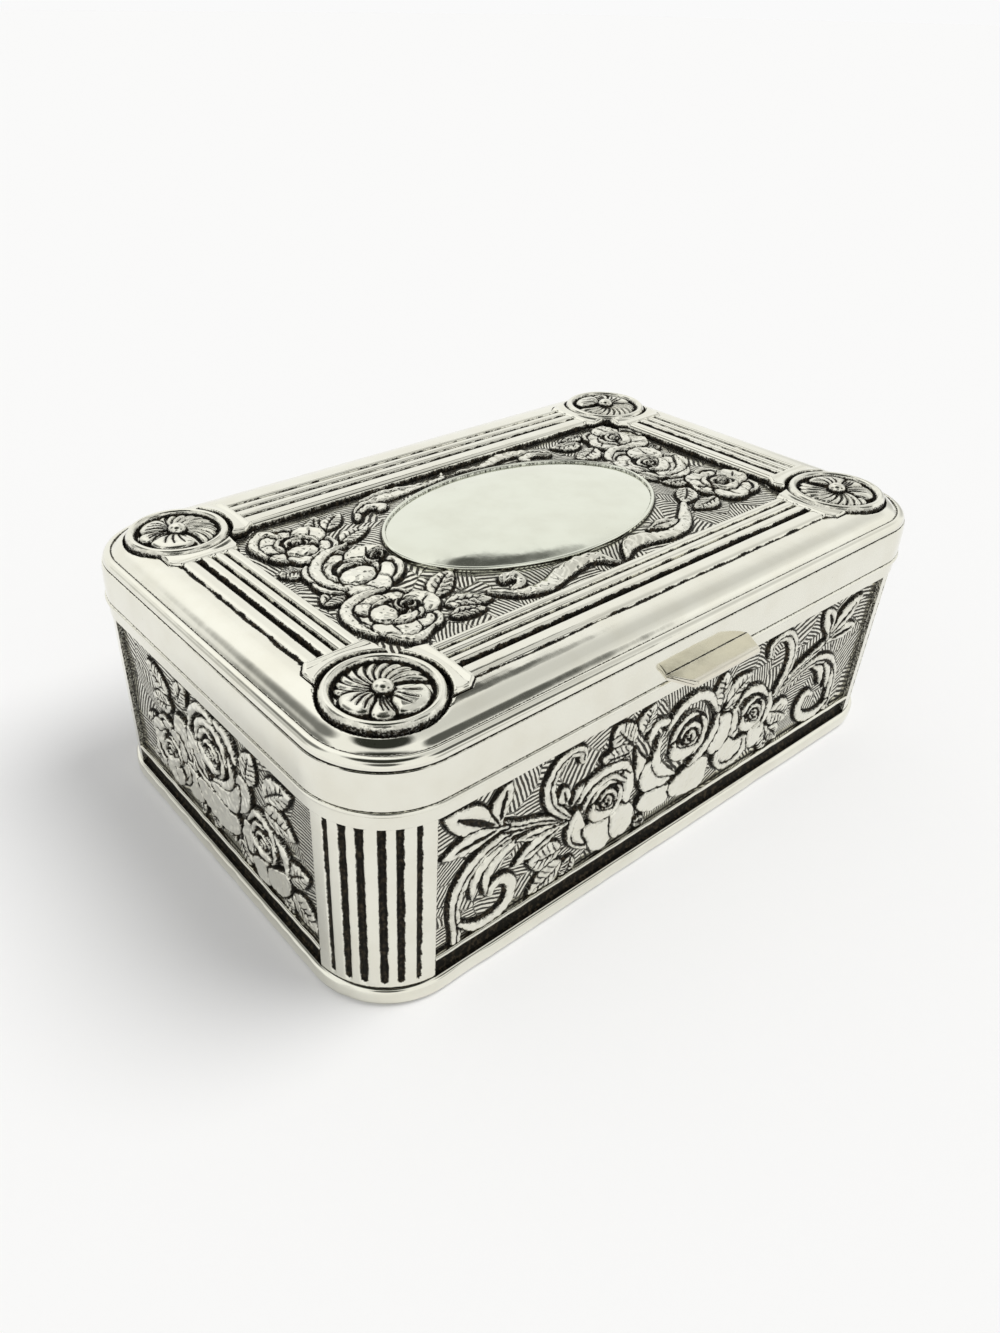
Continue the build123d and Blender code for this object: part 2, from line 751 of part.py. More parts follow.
def make_thumb_tab():
    """The tab: one strip folded back under itself, with the slit of the fold showing at its ends."""
    low = tab_top - tab_height()
    tab = Pos(0, 0, low) * extrude(tab_outline(0), amount=tab_height())
    tip_y = -half_width - tab_reach
    slit_low = low + tab_sheet
    tab -= block(-tab_root, tab_root, tip_y + 2 * tab_sheet, -half_width, slit_low, slit_low + tab_slit)
    front = tab.edges().filter_by(Axis.X).group_by(Axis.Y)[0]
    return fillet(front, 0.4)


# Hinge


def knuckle_spans(first):
    """The X ranges of every other knuckle, starting with the first or the second."""
    spans = []
    for index in range(first, knuckle_count, 2):
        low = -hinge_length / 2 + index * knuckle_pitch
        spans.append((low + knuckle_gap / 2, low + knuckle_pitch - knuckle_gap / 2))
    return spans


def barrel(x_low, x_high, radius):
    """A round bar about the hinge's axis."""
    bar = Rot(0, 90, 0) * Cylinder(radius, x_high - x_low)
    return Pos((x_low + x_high) / 2, hinge_y, hinge_z) * bar


def hinge_leaf(spans, strap_low, strap_high, y_plate, plate_low_z, plate_high_z):
    """A leaf: a plate behind the wall, a strap through the wall's notch, and the knuckles."""
    x_end = hinge_length / 2
    leaf_body = block(-x_end, x_end, y_plate, y_plate + strip_thickness, plate_low_z, plate_high_z)
    leaf_body += block(-x_end, x_end, y_plate, half_width - band_inset, strap_low, strap_high)
    for x_low, x_high in spans:
        leaf_body += block(x_low, x_high, half_width - 1, hinge_y, strap_low, strap_high)
        leaf_body += barrel(x_low, x_high, knuckle_radius)
    return leaf_body


def heel(x_low, x_high):
    """The stop on a lid knuckle: opened fully, its tip comes up against the back of the case."""
    drop = math.radians(heel_angle)
    wall_distance = hinge_y - (half_width - band_inset)
    reach = (wall_distance - heel_gap - 0.5 * heel_thickness * math.sin(drop)) / math.cos(drop)
    bar = block(x_low, x_high, -reach, 0, -heel_thickness / 2, heel_thickness / 2)
    return Pos(0, hinge_y, hinge_z) * Rot(open_angle + heel_angle, 0, 0) * bar


def make_case_hinge_leaf():
    y_plate = half_width - panel_back - strip_thickness - strip_fit
    strap_high = rim_height
    strap_low = rim_height - strip_thickness
    leaf_body = hinge_leaf(knuckle_spans(0), strap_low, strap_high, y_plate, rim_height - case_leaf_drop, strap_high)
    return leaf_body - barrel(-hinge_length, hinge_length, bore_radius)


def make_lid_hinge_leaf():
    y_plate = half_width - lid_leaf_inset - strip_thickness
    strap_high = lid_low + strip_thickness
    leaf_body = hinge_leaf(knuckle_spans(1), lid_low, strap_high, y_plate, lid_low, lid_low + lid_leaf_rise)
    for x_low, x_high in knuckle_spans(1):
        leaf_body += heel(x_low, x_high)
    return leaf_body - barrel(-hinge_length, hinge_length, bore_radius)


def make_hinge_pin():
    """The pin, with a low head at each end of the barrel."""
    x_end = hinge_length / 2 + knuckle_gap
    pin = barrel(-x_end, x_end, pin_radius)
    for side in (-1, 1):
        x_head = sorted((side * x_end, side * (x_end + pin_head)))
        pin += barrel(x_head[0], x_head[1], 0.8 * knuckle_radius)
    return pin


def make_nodes():
    """Every piece of the casket by its node's name."""
    nodes = {
        "base_rail": make_base_rail(),
        "base_plate": make_base_plate(),
        "base_felt": make_base_felt(),
        "floor_card": make_floor_card(),
        "case_frame": make_case_frame(),
        "wall_lining": make_wall_lining(),
        "floor_pad": make_floor_pad(),
        "case_hinge_leaf": make_case_hinge_leaf(),
        "lid_hinge_leaf": make_lid_hinge_leaf(),
        "hinge_pin": make_hinge_pin(),
        "lid_shell": make_lid_shell(),
        "oval_plaque": make_plaque(),
        "lid_card": make_lid_card(),
        "lid_pad": make_lid_pad(),
        "skirt_lining": make_skirt_lining(),
        "thumb_tab": make_thumb_tab(),
    }
    nodes.update(make_panels())
    nodes.update(make_rosettes())
    return nodes


os.makedirs("parts", exist_ok=True)
for node_name, solid in make_nodes().items():
    export_step(solid, os.path.join("parts", node_name + ".step"))
    print(node_name, round(solid.volume, 1))
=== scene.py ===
import math

import bpy
import numpy as np
from mathutils import Matrix, Vector


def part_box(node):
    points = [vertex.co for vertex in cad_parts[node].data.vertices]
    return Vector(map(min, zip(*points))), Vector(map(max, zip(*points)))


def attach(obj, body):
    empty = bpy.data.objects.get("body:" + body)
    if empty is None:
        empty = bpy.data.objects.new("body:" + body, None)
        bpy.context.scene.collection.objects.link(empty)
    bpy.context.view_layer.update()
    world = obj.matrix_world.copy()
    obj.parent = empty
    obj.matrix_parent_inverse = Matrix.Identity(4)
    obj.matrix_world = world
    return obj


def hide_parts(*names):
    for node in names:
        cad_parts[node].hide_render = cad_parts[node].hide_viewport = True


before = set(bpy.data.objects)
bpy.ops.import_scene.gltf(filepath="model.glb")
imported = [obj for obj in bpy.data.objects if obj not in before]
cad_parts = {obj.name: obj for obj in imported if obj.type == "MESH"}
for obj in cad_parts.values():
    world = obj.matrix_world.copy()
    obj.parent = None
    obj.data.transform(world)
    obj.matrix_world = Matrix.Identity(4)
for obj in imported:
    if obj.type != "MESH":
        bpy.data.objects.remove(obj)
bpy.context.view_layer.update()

# A plated casket with pressed roses, reeded corners, corner rosettes and a bare oval, dressed over its CAD frame.
# Sizes are in millimetres until a mesh is made. An inset is a distance inwards from the lid's outline.

MM = 0.001
VIEW_WIDTH = 1000
VIEW_HEIGHT = 1333


def node_box(name):
    """A CAD node's lowest and highest corners, in millimetres."""
    low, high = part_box(name)
    return np.array(low) / MM, np.array(high) / MM


# The four corners: the way to each along x and y, and where its arc starts, in degrees
CORNERS = {
    "front_left": (-1, -1, 180),
    "front_right": (1, -1, 270),
    "back_left": (-1, 1, 90),
    "back_right": (1, 1, 0),
}

# Sizes from the frame
lid_low, lid_high = node_box("lid_shell")
rail_low, rail_high = node_box("base_rail")
front_low, front_high = node_box("front_panel")
side_high = node_box("left_panel")[1]
plaque_low, plaque_high = node_box("oval_plaque")
case_high = node_box("case_frame")[1]
floor_low, floor_high = node_box("floor_pad")
ceiling_low, ceiling_high = node_box("lid_pad")
lining_low, lining_high = node_box("wall_lining")
band_low, band_high = node_box("skirt_lining")
tab_low, tab_high = node_box("thumb_tab")
felt_high = node_box("base_felt")[1]
half_length = lid_high[0]
half_width = lid_high[1]

# Driving sizes that the frame's boxes don't give
corner_radius = 17.4
panel_lap = 0.5
lip_height = 2.0
ground_inset = 1.9
deck_top = 57.4
panel_spread = 2.0
post_start = 5.2
frame_start = 10.6
frame_end = 23.3
reed_low = 58.3
reed_high = 59.3
capital_reach = 14.4
rosette_ring = 11.3

# What follows from them
panel_bottom = front_low[2] + panel_lap
panel_top = front_high[2] - panel_lap
panel_run_x = front_high[0] - panel_lap + panel_spread
panel_run_y = side_high[1] - panel_lap + panel_spread
rim_height = case_high[2] - lip_height
lid_bottom = lid_low[2]
centre_x = half_length - corner_radius
centre_y = half_width - corner_radius
rosette_boxes = {name: node_box("rosette_" + name) for name in CORNERS}
rosette_centres = {name: (low + high) / 2 for name, (low, high) in rosette_boxes.items()}
rosette_foot, boss_top = (corner[2] for corner in rosette_boxes["front_left"])
rosette_radius = (rosette_boxes["front_left"][1][0] - rosette_boxes["front_left"][0][0]) / 2
rosette_x, rosette_y = abs(rosette_centres["front_right"][:2])

# The four sides: the turn from the front in degrees, how far off it is, and the runs of its panel and its bar
SIDES = {
    "front": (0, half_width, panel_run_x, rosette_x),
    "right": (90, half_length, panel_run_y, rosette_y),
    "back": (180, half_width, panel_run_x, rosette_x),
    "left": (-90, half_length, panel_run_y, rosette_y),
}


# Lines and distances


def ease(value, low, high):
    """Rise smoothly from 0 at low to 1 at high."""
    share = np.clip((value - low) / (high - low), 0.0, 1.0)
    return share * share * (3.0 - 2.0 * share)


def curve(points, closed=False, per=7):
    """A smooth line through points, as an array with some samples for each stretch."""
    here = np.array(points, float)
    if closed:
        before, after, beyond = np.roll(here, 1, 0), np.roll(here, -1, 0), np.roll(here, -2, 0)
    else:
        longer = np.vstack([2 * here[0] - here[1], here, 2 * here[-1] - here[-2]])
        before, here, after, beyond = longer[:-3], longer[1:-2], longer[2:-1], longer[3:]
    t = np.linspace(0.0, 1.0, per, endpoint=False)[None, :, None]
    before, here, after, beyond = (part[:, None, :] for part in (before, here, after, beyond))
    line = 0.5 * (2 * here + (after - before) * t + (2 * before - 5 * here + 4 * after - beyond) * t ** 2
                  + (3 * here - before - 3 * after + beyond) * t ** 3)
    line = line.reshape(-1, line.shape[-1])
    last = line[:1] if closed else np.array(points[-1:], float)
    return np.vstack([line, last])


def nearest(x, y, line):
    """How far each point is from a line, and where along it the nearest place is, from 0 to 1."""
    start = line[:-1]
    run = line[1:] - start
    square = np.maximum((run ** 2).sum(1), 1e-9)
    east = x[:, None] - start[:, 0]
    north = y[:, None] - start[:, 1]
    share = np.clip((east * run[:, 0] + north * run[:, 1]) / square, 0.0, 1.0)
    away = (east - share * run[:, 0]) ** 2 + (north - share * run[:, 1]) ** 2
    best = np.argmin(away, axis=1)
    rows = np.arange(len(x))
    return np.sqrt(away[rows, best]), (best + share[rows, best]) / len(run)


def within(x, y, ring):
    """Which points lie inside a closed line."""
    first, last = ring[:-1], ring[1:]
    rise = np.where(last[:, 1] == first[:, 1], 1e-9, last[:, 1] - first[:, 1])
    crosses = (first[:, 1] > y[:, None]) != (last[:, 1] > y[:, None])
    reach = first[:, 0] + (y[:, None] - first[:, 1]) * (last[:, 0] - first[:, 0]) / rise
    return (crosses & (x[:, None] < reach)).sum(1) % 2 == 1


def turned(points, x, y, angle, length=1.0, width=1.0):
    """Points along and across a direction, placed at x, y; the angle is in degrees."""
    turn = math.radians(angle)
    points = np.array(points, float) * (length, width)
    return np.column_stack([x + points[:, 0] * math.cos(turn) - points[:, 1] * math.sin(turn),
                            y + points[:, 0] * math.sin(turn) + points[:, 1] * math.cos(turn)])


# Pressed relief on a grid: how deep its dents are, its lowest and highest level, and what counts as clean
CRUMPLE_DEPTH = 0.11
LOWEST = -0.25
HIGHEST = 1.3
FAR = 9.0


def wandering(random, count):
    """How a groove's edge wanders along it: smoothed random steps between -1 and 1."""
    return np.convolve(random.uniform(-1, 1, count), np.ones(3) / 3, mode="same")


class Relief:
    """A pressed surface: at each grid point a height, and the distance from the nearest blackened line."""

    def __init__(self, x, y):
        self.x = x
        self.y = y
        self.high = np.zeros_like(x)
        self.clear = np.full_like(x, FAR)
        self.ground = np.ones_like(x)

    def near(self, line, margin):
        """The grid points in a line's box, with their places."""
        low = line.min(0) - margin
        high = line.max(0) + margin
        spot = (self.x > low[0]) & (self.x < high[0]) & (self.y > low[1]) & (self.y < high[1])
        return spot, self.x[spot], self.y[spot]

    def press(self, spot, inside, level, gap, clean, trench, ink):
        """Raise what is inside to its level, and sink and blacken what lies within a gap of its edge."""
        sunk = self.high[spot] - trench * (1 - ease(gap, 0.0, 0.6))
        self.high[spot] = np.where(inside, level, np.maximum(sunk, LOWEST))
        self.clear[spot] = np.where(inside, gap - clean, np.minimum(self.clear[spot], gap - ink))
        self.ground[spot] = np.where(inside, 0.0, self.ground[spot])

    def lay(self, ring, height, edge=0.5, foot=0.4, trench=0.4, ink=0.24):
        """Lay a raised shape over what is there: height gives its level from the distance to its edge."""
        spot, x, y = self.near(ring, 1.0)
        if len(x):
            away, _ = nearest(x, y, ring)
            rounding = foot + (1 - foot) * np.sqrt(1 - (1 - np.clip(away / edge, 0, 1)) ** 2)
            self.press(spot, within(x, y, ring), height(away, x, y) * rounding, away, 0.04, trench, ink)

    def stroke(self, line, width, depth=0.2):
        """Cut a blackened stroke that tapers to its ends."""
        spot, x, y = self.near(line, width + 0.6)
        if len(x):
            away, place = nearest(x, y, line)
            half = 0.5 * width * np.sin(math.pi * np.clip(place, 0.06, 0.94)) ** 0.6
            self.clear[spot] = np.minimum(self.clear[spot], away - half)
            self.high[spot] -= depth * (1 - ease(away, 0.0, half + 0.3))

    def crumple(self):
        """The unevenness of pressed sheet: small dents over the raised shapes, which break up what they mirror."""
        x, y = self.x, self.y
        dents = np.sin(1.9 * x + 1.3 * np.sin(1.1 * y)) * np.sin(1.7 * y + np.sin(0.9 * x + 0.4))
        dents += 0.5 * np.sin(3.1 * x - 1.2 * y + np.sin(1.4 * y)) * np.sin(2.3 * y + 0.8 * x)
        self.high += CRUMPLE_DEPTH * dents * (1 - self.ground)


# A petal a unit long and wide: its outline, the fold of its lip and the crease of one without
PETAL = ((0.1, 0.0), (0.26, 0.3), (0.56, 0.5), (0.82, 0.42), (0.97, 0.2), (1.0, -0.08), (0.88, -0.36), (0.6, -0.5),
         (0.28, -0.3))
PETAL_LIP = ((0.5, 0.34), (0.72, 0.3), (0.83, 0.08), (0.82, -0.14), (0.72, -0.31), (0.5, -0.36))
PETAL_CREASE = ((0.45, -0.1), (0.68, 0.02), (0.86, 0.12))


def swelling(rise, low, gain, reach):
    """A height that swells from a part of its rise at the edge to all of it some way in."""
    return lambda away, px, py: rise * (low + gain * ease(away, 0.0, reach))


def petal(relief, x, y, angle, length, width, lip, rise=0.95):
    """A petal that grows outwards from x, y: a broad blade, with a rolled lip if one is asked for."""
    ring = curve(turned(PETAL, x, y, angle, length, width), closed=True, per=5)
    turn = math.radians(angle)

    def height(away, px, py):
        along = ((px - x) * math.cos(turn) + (py - y) * math.sin(turn)) / length
        hollow = 0.3 * ease(away, 0.7, 1.8) if lip else 0.1 * ease(away, 1.0, 2.5)
        return rise * (0.6 + 0.4 * np.clip(along, 0, 1)) - hollow * rise

    relief.lay(ring, height)
    line, thick, depth = (PETAL_LIP, 0.45, 0.3) if lip else (PETAL_CREASE, 0.26, 0.15)
    relief.stroke(curve(turned(line, x, y, angle, length, width)), thick, depth)


def scale(relief, points, lip, rise=0.95):
    """A broad smooth petal from its outline."""
    ring = curve(points, closed=True, per=6)
    relief.lay(ring, lambda away, px, py: rise * (1 - (0.3 if lip else 0.1) * ease(away, 0.8, 2.2)))
    if lip:
        middle = ring.mean(0)
        crease = middle + 0.68 * (ring - middle)
        relief.stroke(crease[len(crease) // 6:len(crease) * 2 // 3], 0.42, 0.3)


# A lobe's width at even steps along it
LOBE_WIDTHS = (0.16, 0.2, 0.34, 0.58, 0.82, 0.97, 1.0, 0.92, 0.74, 0.46, 0.06)


def lobe(relief, start, end, width, slit, bend, rise=0.95):
    """A smooth blunt acanthus lobe from its stem to its tip, with a dark slit down its middle if one is asked for."""
    (x, y), run = start, np.subtract(end, start)
    angle = math.degrees(math.atan2(run[1], run[0]))
    steps = np.linspace(0.0, 1.0, len(LOBE_WIDTHS))
    along, half = steps * math.hypot(*run), width * 0.5 * np.array(LOBE_WIDTHS)
    sway = bend * np.sin(math.pi * steps)
    sides = np.vstack([np.column_stack([along, sway + half]), np.column_stack([along, sway - half])[::-1]])
    ring = curve(turned(sides, x, y, angle), closed=True, per=3)
    relief.lay(ring, swelling(rise, 0.72, 0.28, 0.4 * width), edge=0.6)
    if slit:
        relief.stroke(turned(np.column_stack([along, sway])[2:9], x, y, angle), slit, 0.5)


def disc(x, y, radius_x, radius_y, angle):
    """A closed line round an ellipse."""
    turns = np.linspace(0, 2 * math.pi, 25)
    return turned(np.column_stack([np.cos(turns), np.sin(turns)]), x, y, angle, radius_x, radius_y)


def dome(relief, x, y, radius_x, radius_y, angle, rise, edge=1.0):
    """A smooth rounded lobe."""
    relief.lay(disc(x, y, radius_x, radius_y, angle), swelling(rise, 0.75, 0.25, min(radius_x, radius_y)),
               edge=edge, foot=0.2)


# The rolled petals in a rose's heart: distance from its middle, start and sweep in degrees, and width
HEART_ARCS = ((0.52, 100, 120, 0.17), (0.51, -40, 120, 0.16), (0.30, 20, 170, 0.13), (0.29, 215, 150, 0.13),
              (0.13, -30, 190, 0.10), (0.12, 185, 120, 0.08))
HEART_CUP = (0.44, 208, 128, 0.30)


def heart(relief, x, y, size, turn, cup=True):
    """The wound heart of a rose: rolled petals round a dark pit, the lowest one a smooth cup."""
    pit = disc(x, y, 0.58 * size, 0.522 * size, turn)
    spot, near_x, near_y = relief.near(pit, 0.5)
    inside = within(near_x, near_y, pit)
    for layer, value in ((relief.high, 0.5), (relief.clear, -0.1), (relief.ground, 0.0)):
        layer[spot] = np.where(inside, value, layer[spot])
    for index, (share, start, sweep, width) in enumerate(HEART_ARCS + ((HEART_CUP,) if cup else ())):
        bend = np.linspace(0, 1, 9)
        reach = share * size * (1 - 0.1 * bend + 0.03 * np.sin(7 * bend + index))
        angle = np.radians(start + sweep * bend)
        points = turned(np.column_stack([reach * np.cos(angle), 0.9 * reach * np.sin(angle)]), x, y, turn)
        rise = 1.22 - 0.5 * share if index < len(HEART_ARCS) else 1.2
        ribbon(relief, points, [part * width * size for part in (0.35, 0.85, 1.0, 0.9, 0.4)], rise, ink=0.12)
    dome(relief, x, y, 0.05 * size, 0.045 * size, turn, 1.0, edge=0.4)


# A rose's outer petals: direction in degrees, length and width in its size, and whether it has a lip
OPEN_PETALS = ((200, 1.0, 0.95, True), (320, 1.02, 0.95, True), (95, 0.98, 0.9, True), (150, 1.0, 0.9, False),
               (30, 1.0, 0.9, False), (262, 1.05, 1.0, False))


def rose(relief, x, y, size, turn):
    """An open rose: its outer petals from the lowest to the highest, then its wound heart."""
    for angle, reach, width, lip in OPEN_PETALS:
        petal(relief, x, y, turn + angle, reach * size, width * size, lip)
    heart(relief, x, y, 0.98 * size, turn)


def leaf(relief, x, y, angle, length, width, rise=0.8):
    """A toothed leaf with a dark midrib and side veins; x, y is its stalk."""
    steps = np.linspace(0.0, 1.0, 17)
    half = 0.5 * np.sin(math.pi * steps ** 0.85) ** 0.8 * (1 + 0.1 * (np.arange(17) % 2))
    bend = 0.06 * np.sin(math.pi * steps) * length / width

    def placed(points):
        return turned(points, x, y, angle, length, width)

    left, right = np.column_stack([steps, bend + half]), np.column_stack([steps, bend - half])[::-1]
    relief.lay(placed(np.vstack([left, right[1:]])), swelling(rise, 0.75, 0.25, 0.3 * width), edge=0.4, foot=0.35)
    relief.stroke(placed(np.column_stack([steps, bend])[:14]), 0.3, 0.3)
    for along in (0.2, 0.35, 0.5, 0.65):
        for side in (-1, 1):
            vein = [(along, 0.03 * side), (along + 0.1, 0.2 * side), (along + 0.15, 0.36 * side)]
            relief.stroke(placed(vein), 0.17, 0.16)


def ribbon(relief, points, widths, rise, groove=0.0, ink=0.26):
    """A curling band whose width follows a list, with a dark groove along it if one is asked for."""
    line = curve(points, per=8)
    spot, x, y = relief.near(line, max(widths) + 1.0)
    away, place = nearest(x, y, line)
    half = 0.5 * np.interp(place, np.linspace(0, 1, len(widths)), widths)
    level = rise * (0.35 + 0.65 * np.sqrt(1 - np.clip(away / np.maximum(half, 0.05), 0, 1) ** 2))
    relief.press(spot, away < half, level, np.abs(half - away), 0.03, 0.4, ink)
    if groove:
        relief.stroke(line, groove, 0.3)


# The kinds of ribbon: an acanthus stem, a petal's rolled edge low or high, and the lid's broad scrolls


def stem(relief, points, widths, groove):
    ribbon(relief, points, widths, 0.95, groove)


def fold(relief, points, widths):
    ribbon(relief, points, widths, 1.05, ink=0.16)


def curl(relief, points, widths):
    ribbon(relief, points, widths, 1.1, ink=0.16)


def scroll(relief, points, widths):
    ribbon(relief, points, [1.35 * width for width in widths], 1.0, ink=0.2)


def draw(relief, drawing):
    """Lay a drawing's shapes in their order: each entry is a kind of shape and where its copies go."""
    for shape, copies in drawing:
        for copy in copies:
            shape(relief, *copy)
    relief.crumple()


def hatch_phase(x, y, seed, spacing=7.0):
    """Which line of the chased ground each point is on: patches of strokes, each with its own direction."""
    random = np.random.default_rng(seed)
    low_x, high_x, low_y, high_y = x.min(), x.max(), y.min(), y.max()
    count = max(4, int((high_x - low_x) * (high_y - low_y) / spacing ** 2))
    seeds = np.column_stack([random.uniform(low_x, high_x, count), random.uniform(low_y, high_y, count)])
    angles = np.radians(random.choice((12, 35, 62, 88, 118, 150), count) + random.normal(0, 7, count))
    pitch = random.choice((0.8, 0.95, 1.1, 1.4), count, p=(0.3, 0.35, 0.25, 0.1))
    wave_x = x + 0.9 * np.sin(y / 2.3)
    wave_y = y + 0.9 * np.sin(x / 2.7)
    best = np.zeros(x.shape, int)
    least = np.full(x.shape, 1e9)
    for index, (seed_x, seed_y) in enumerate(seeds):
        away = (wave_x - seed_x) ** 2 + (wave_y - seed_y) ** 2
        closer = away < least
        best[closer] = index
        least[closer] = away[closer]
    bow = 0.015 * ((x - seeds[best, 0]) ** 2 + (y - seeds[best, 1]) ** 2)
    return (x * np.cos(angles[best]) + y * np.sin(angles[best]) + bow) / pitch[best]


# Meshes


def grid_mesh(name, points, keep=None, wrap=False, flip=False, sharp=None, **layers):
    """An object from an array of points in millimetres, row by row; keep says which cells are made."""
    rows, columns = points.shape[:2]
    index = np.arange(rows * columns).reshape(rows, columns)
    u, v = np.meshgrid(np.arange(columns + 1), np.arange(rows))
    if wrap:
        index = np.concatenate([index, index[:, :1]], axis=1)
    u, v = u[:, :index.shape[1]], v[:, :index.shape[1]]
    order = ((0, 0), (0, 1), (1, 1), (1, 0))
    if flip:
        order = order[::-1]
    tall, wide = rows - 1, index.shape[1] - 1

    def cells(values):
        return np.stack([values[r:r + tall, c:c + wide] for r, c in order], axis=-1)

    quads, quads_u, quads_v = cells(index), cells(u), cells(v)
    if keep is not None:
        quads, quads_u, quads_v = quads[keep], quads_u[keep], quads_v[keep]
    used, corners = np.unique(quads.ravel(), return_inverse=True)
    mesh = bpy.data.meshes.new(name)
    mesh.vertices.add(len(used))
    mesh.vertices.foreach_set("co", (points.reshape(-1, 3)[used] * MM).ravel())
    mesh.loops.add(len(corners))
    mesh.loops.foreach_set("vertex_index", corners.ravel())
    mesh.polygons.add(len(corners) // 4)
    mesh.polygons.foreach_set("loop_start", np.arange(0, len(corners), 4))
    mesh.polygons.foreach_set("use_smooth", np.ones(len(corners) // 4, bool))
    mesh.update(calc_edges=True)
    spread = mesh.uv_layers.new(name="OFBake")
    uv = np.column_stack([quads_u.ravel() / wide, quads_v.ravel() / tall])
    spread.uv.foreach_set("vector", uv.astype(np.float32).ravel())
    for layer, values in layers.items():
        attribute = mesh.attributes.new(layer, "FLOAT", "POINT")
        attribute.data.foreach_set("value", values.ravel()[used].astype(np.float32))
    if sharp is not None:
        mesh.set_sharp_from_angle(angle=math.radians(sharp))
    made = bpy.data.objects.new(name, mesh)
    bpy.context.scene.collection.objects.link(made)
    return made


def piece(name, points, node, body, slot, material, clear=None, **options):
    """Make a piece, give it its material and its body, and hide the CAD node that it stands for; the finish slot is
    not used.
    """
    made = grid_mesh(name, points, **({} if clear is None else {"tarnish": tarnish(clear)}), **options)
    made.data.materials.append(material)
    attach(made, body)
    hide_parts(node)
    return made


def tarnish(clear):
    """The distance from a blackened line, turned round so that a surface without it counts as clean."""
    return np.clip(10.0 - clear, 0.0, 11.0)


def on_side(turn, along, out, level):
    """Points on one side of the box: out is counted towards its middle, so it is negative."""
    cos, sin = math.cos(math.radians(turn)), math.sin(math.radians(turn))
    return np.dstack([along * cos - out * sin, along * sin + out * cos, level])


def closed_in(swept, shares, levels):
    """A swept surface, closed towards the middle by rings that shrink from its last row."""
    rings = [swept]
    for share, level in zip(shares, levels):
        ring = swept[-1:] * (1 - share)
        ring[..., 2] = level
        rings.append(ring)
    return np.concatenate(rings)


def outline_path(fine=0.6, coarse=6.0, turns=40):
    """Stations round the box: a corner's centre or a point between two of them, and the way outwards."""
    dense = np.arange(0.0, 15.0, fine)
    stations = []
    for corner in range(4):
        first = math.radians(90 * corner)
        sign_x = (1, -1, -1, 1)[corner]
        sign_y = (1, 1, -1, -1)[corner]
        for step in range(turns + 1):
            angle = first + math.pi / 2 * step / turns
            stations.append((sign_x * centre_x, sign_y * centre_y, math.cos(angle), math.sin(angle)))
        run = 2 * (centre_x if corner % 2 == 0 else centre_y)
        middle = np.linspace(15.0, run - 15.0, int((run - 30.0) / coarse) + 2)
        along = np.concatenate([dense[1:], middle, run - dense[:0:-1]])
        angle = first + math.pi / 2
        heading = (math.cos(angle + math.pi / 2), math.sin(angle + math.pi / 2))
        for place in along:
            stations.append((sign_x * centre_x + place * heading[0], sign_y * centre_y + place * heading[1],
                             math.cos(angle), math.sin(angle)))
    return np.array(stations)


def sweep(path, profile):
    """Points of a section of insets and heights carried along a path, one row for each profile point."""
    inset = corner_radius - profile[:, 0][:, None]
    x = path[None, :, 0] + inset * path[None, :, 2]
    y = path[None, :, 1] + inset * path[None, :, 3]
    z = np.repeat(profile[:, 1][:, None], len(path), axis=1)
    return np.dstack([x, y, z])


def section(*parts):
    """A section from stretches of points: a stretch is a list of insets and heights, or a ready array."""
    return np.vstack([np.array(part, float) for part in parts])


def round_over(centre, radius, start, stop, count=8):
    """An arc of a section about a centre; the angles are in degrees from inwards towards up."""
    turns = np.radians(np.linspace(start, stop, count))
    return np.column_stack([centre[0] + radius * np.cos(turns), centre[1] + radius * np.sin(turns)])


# Materials


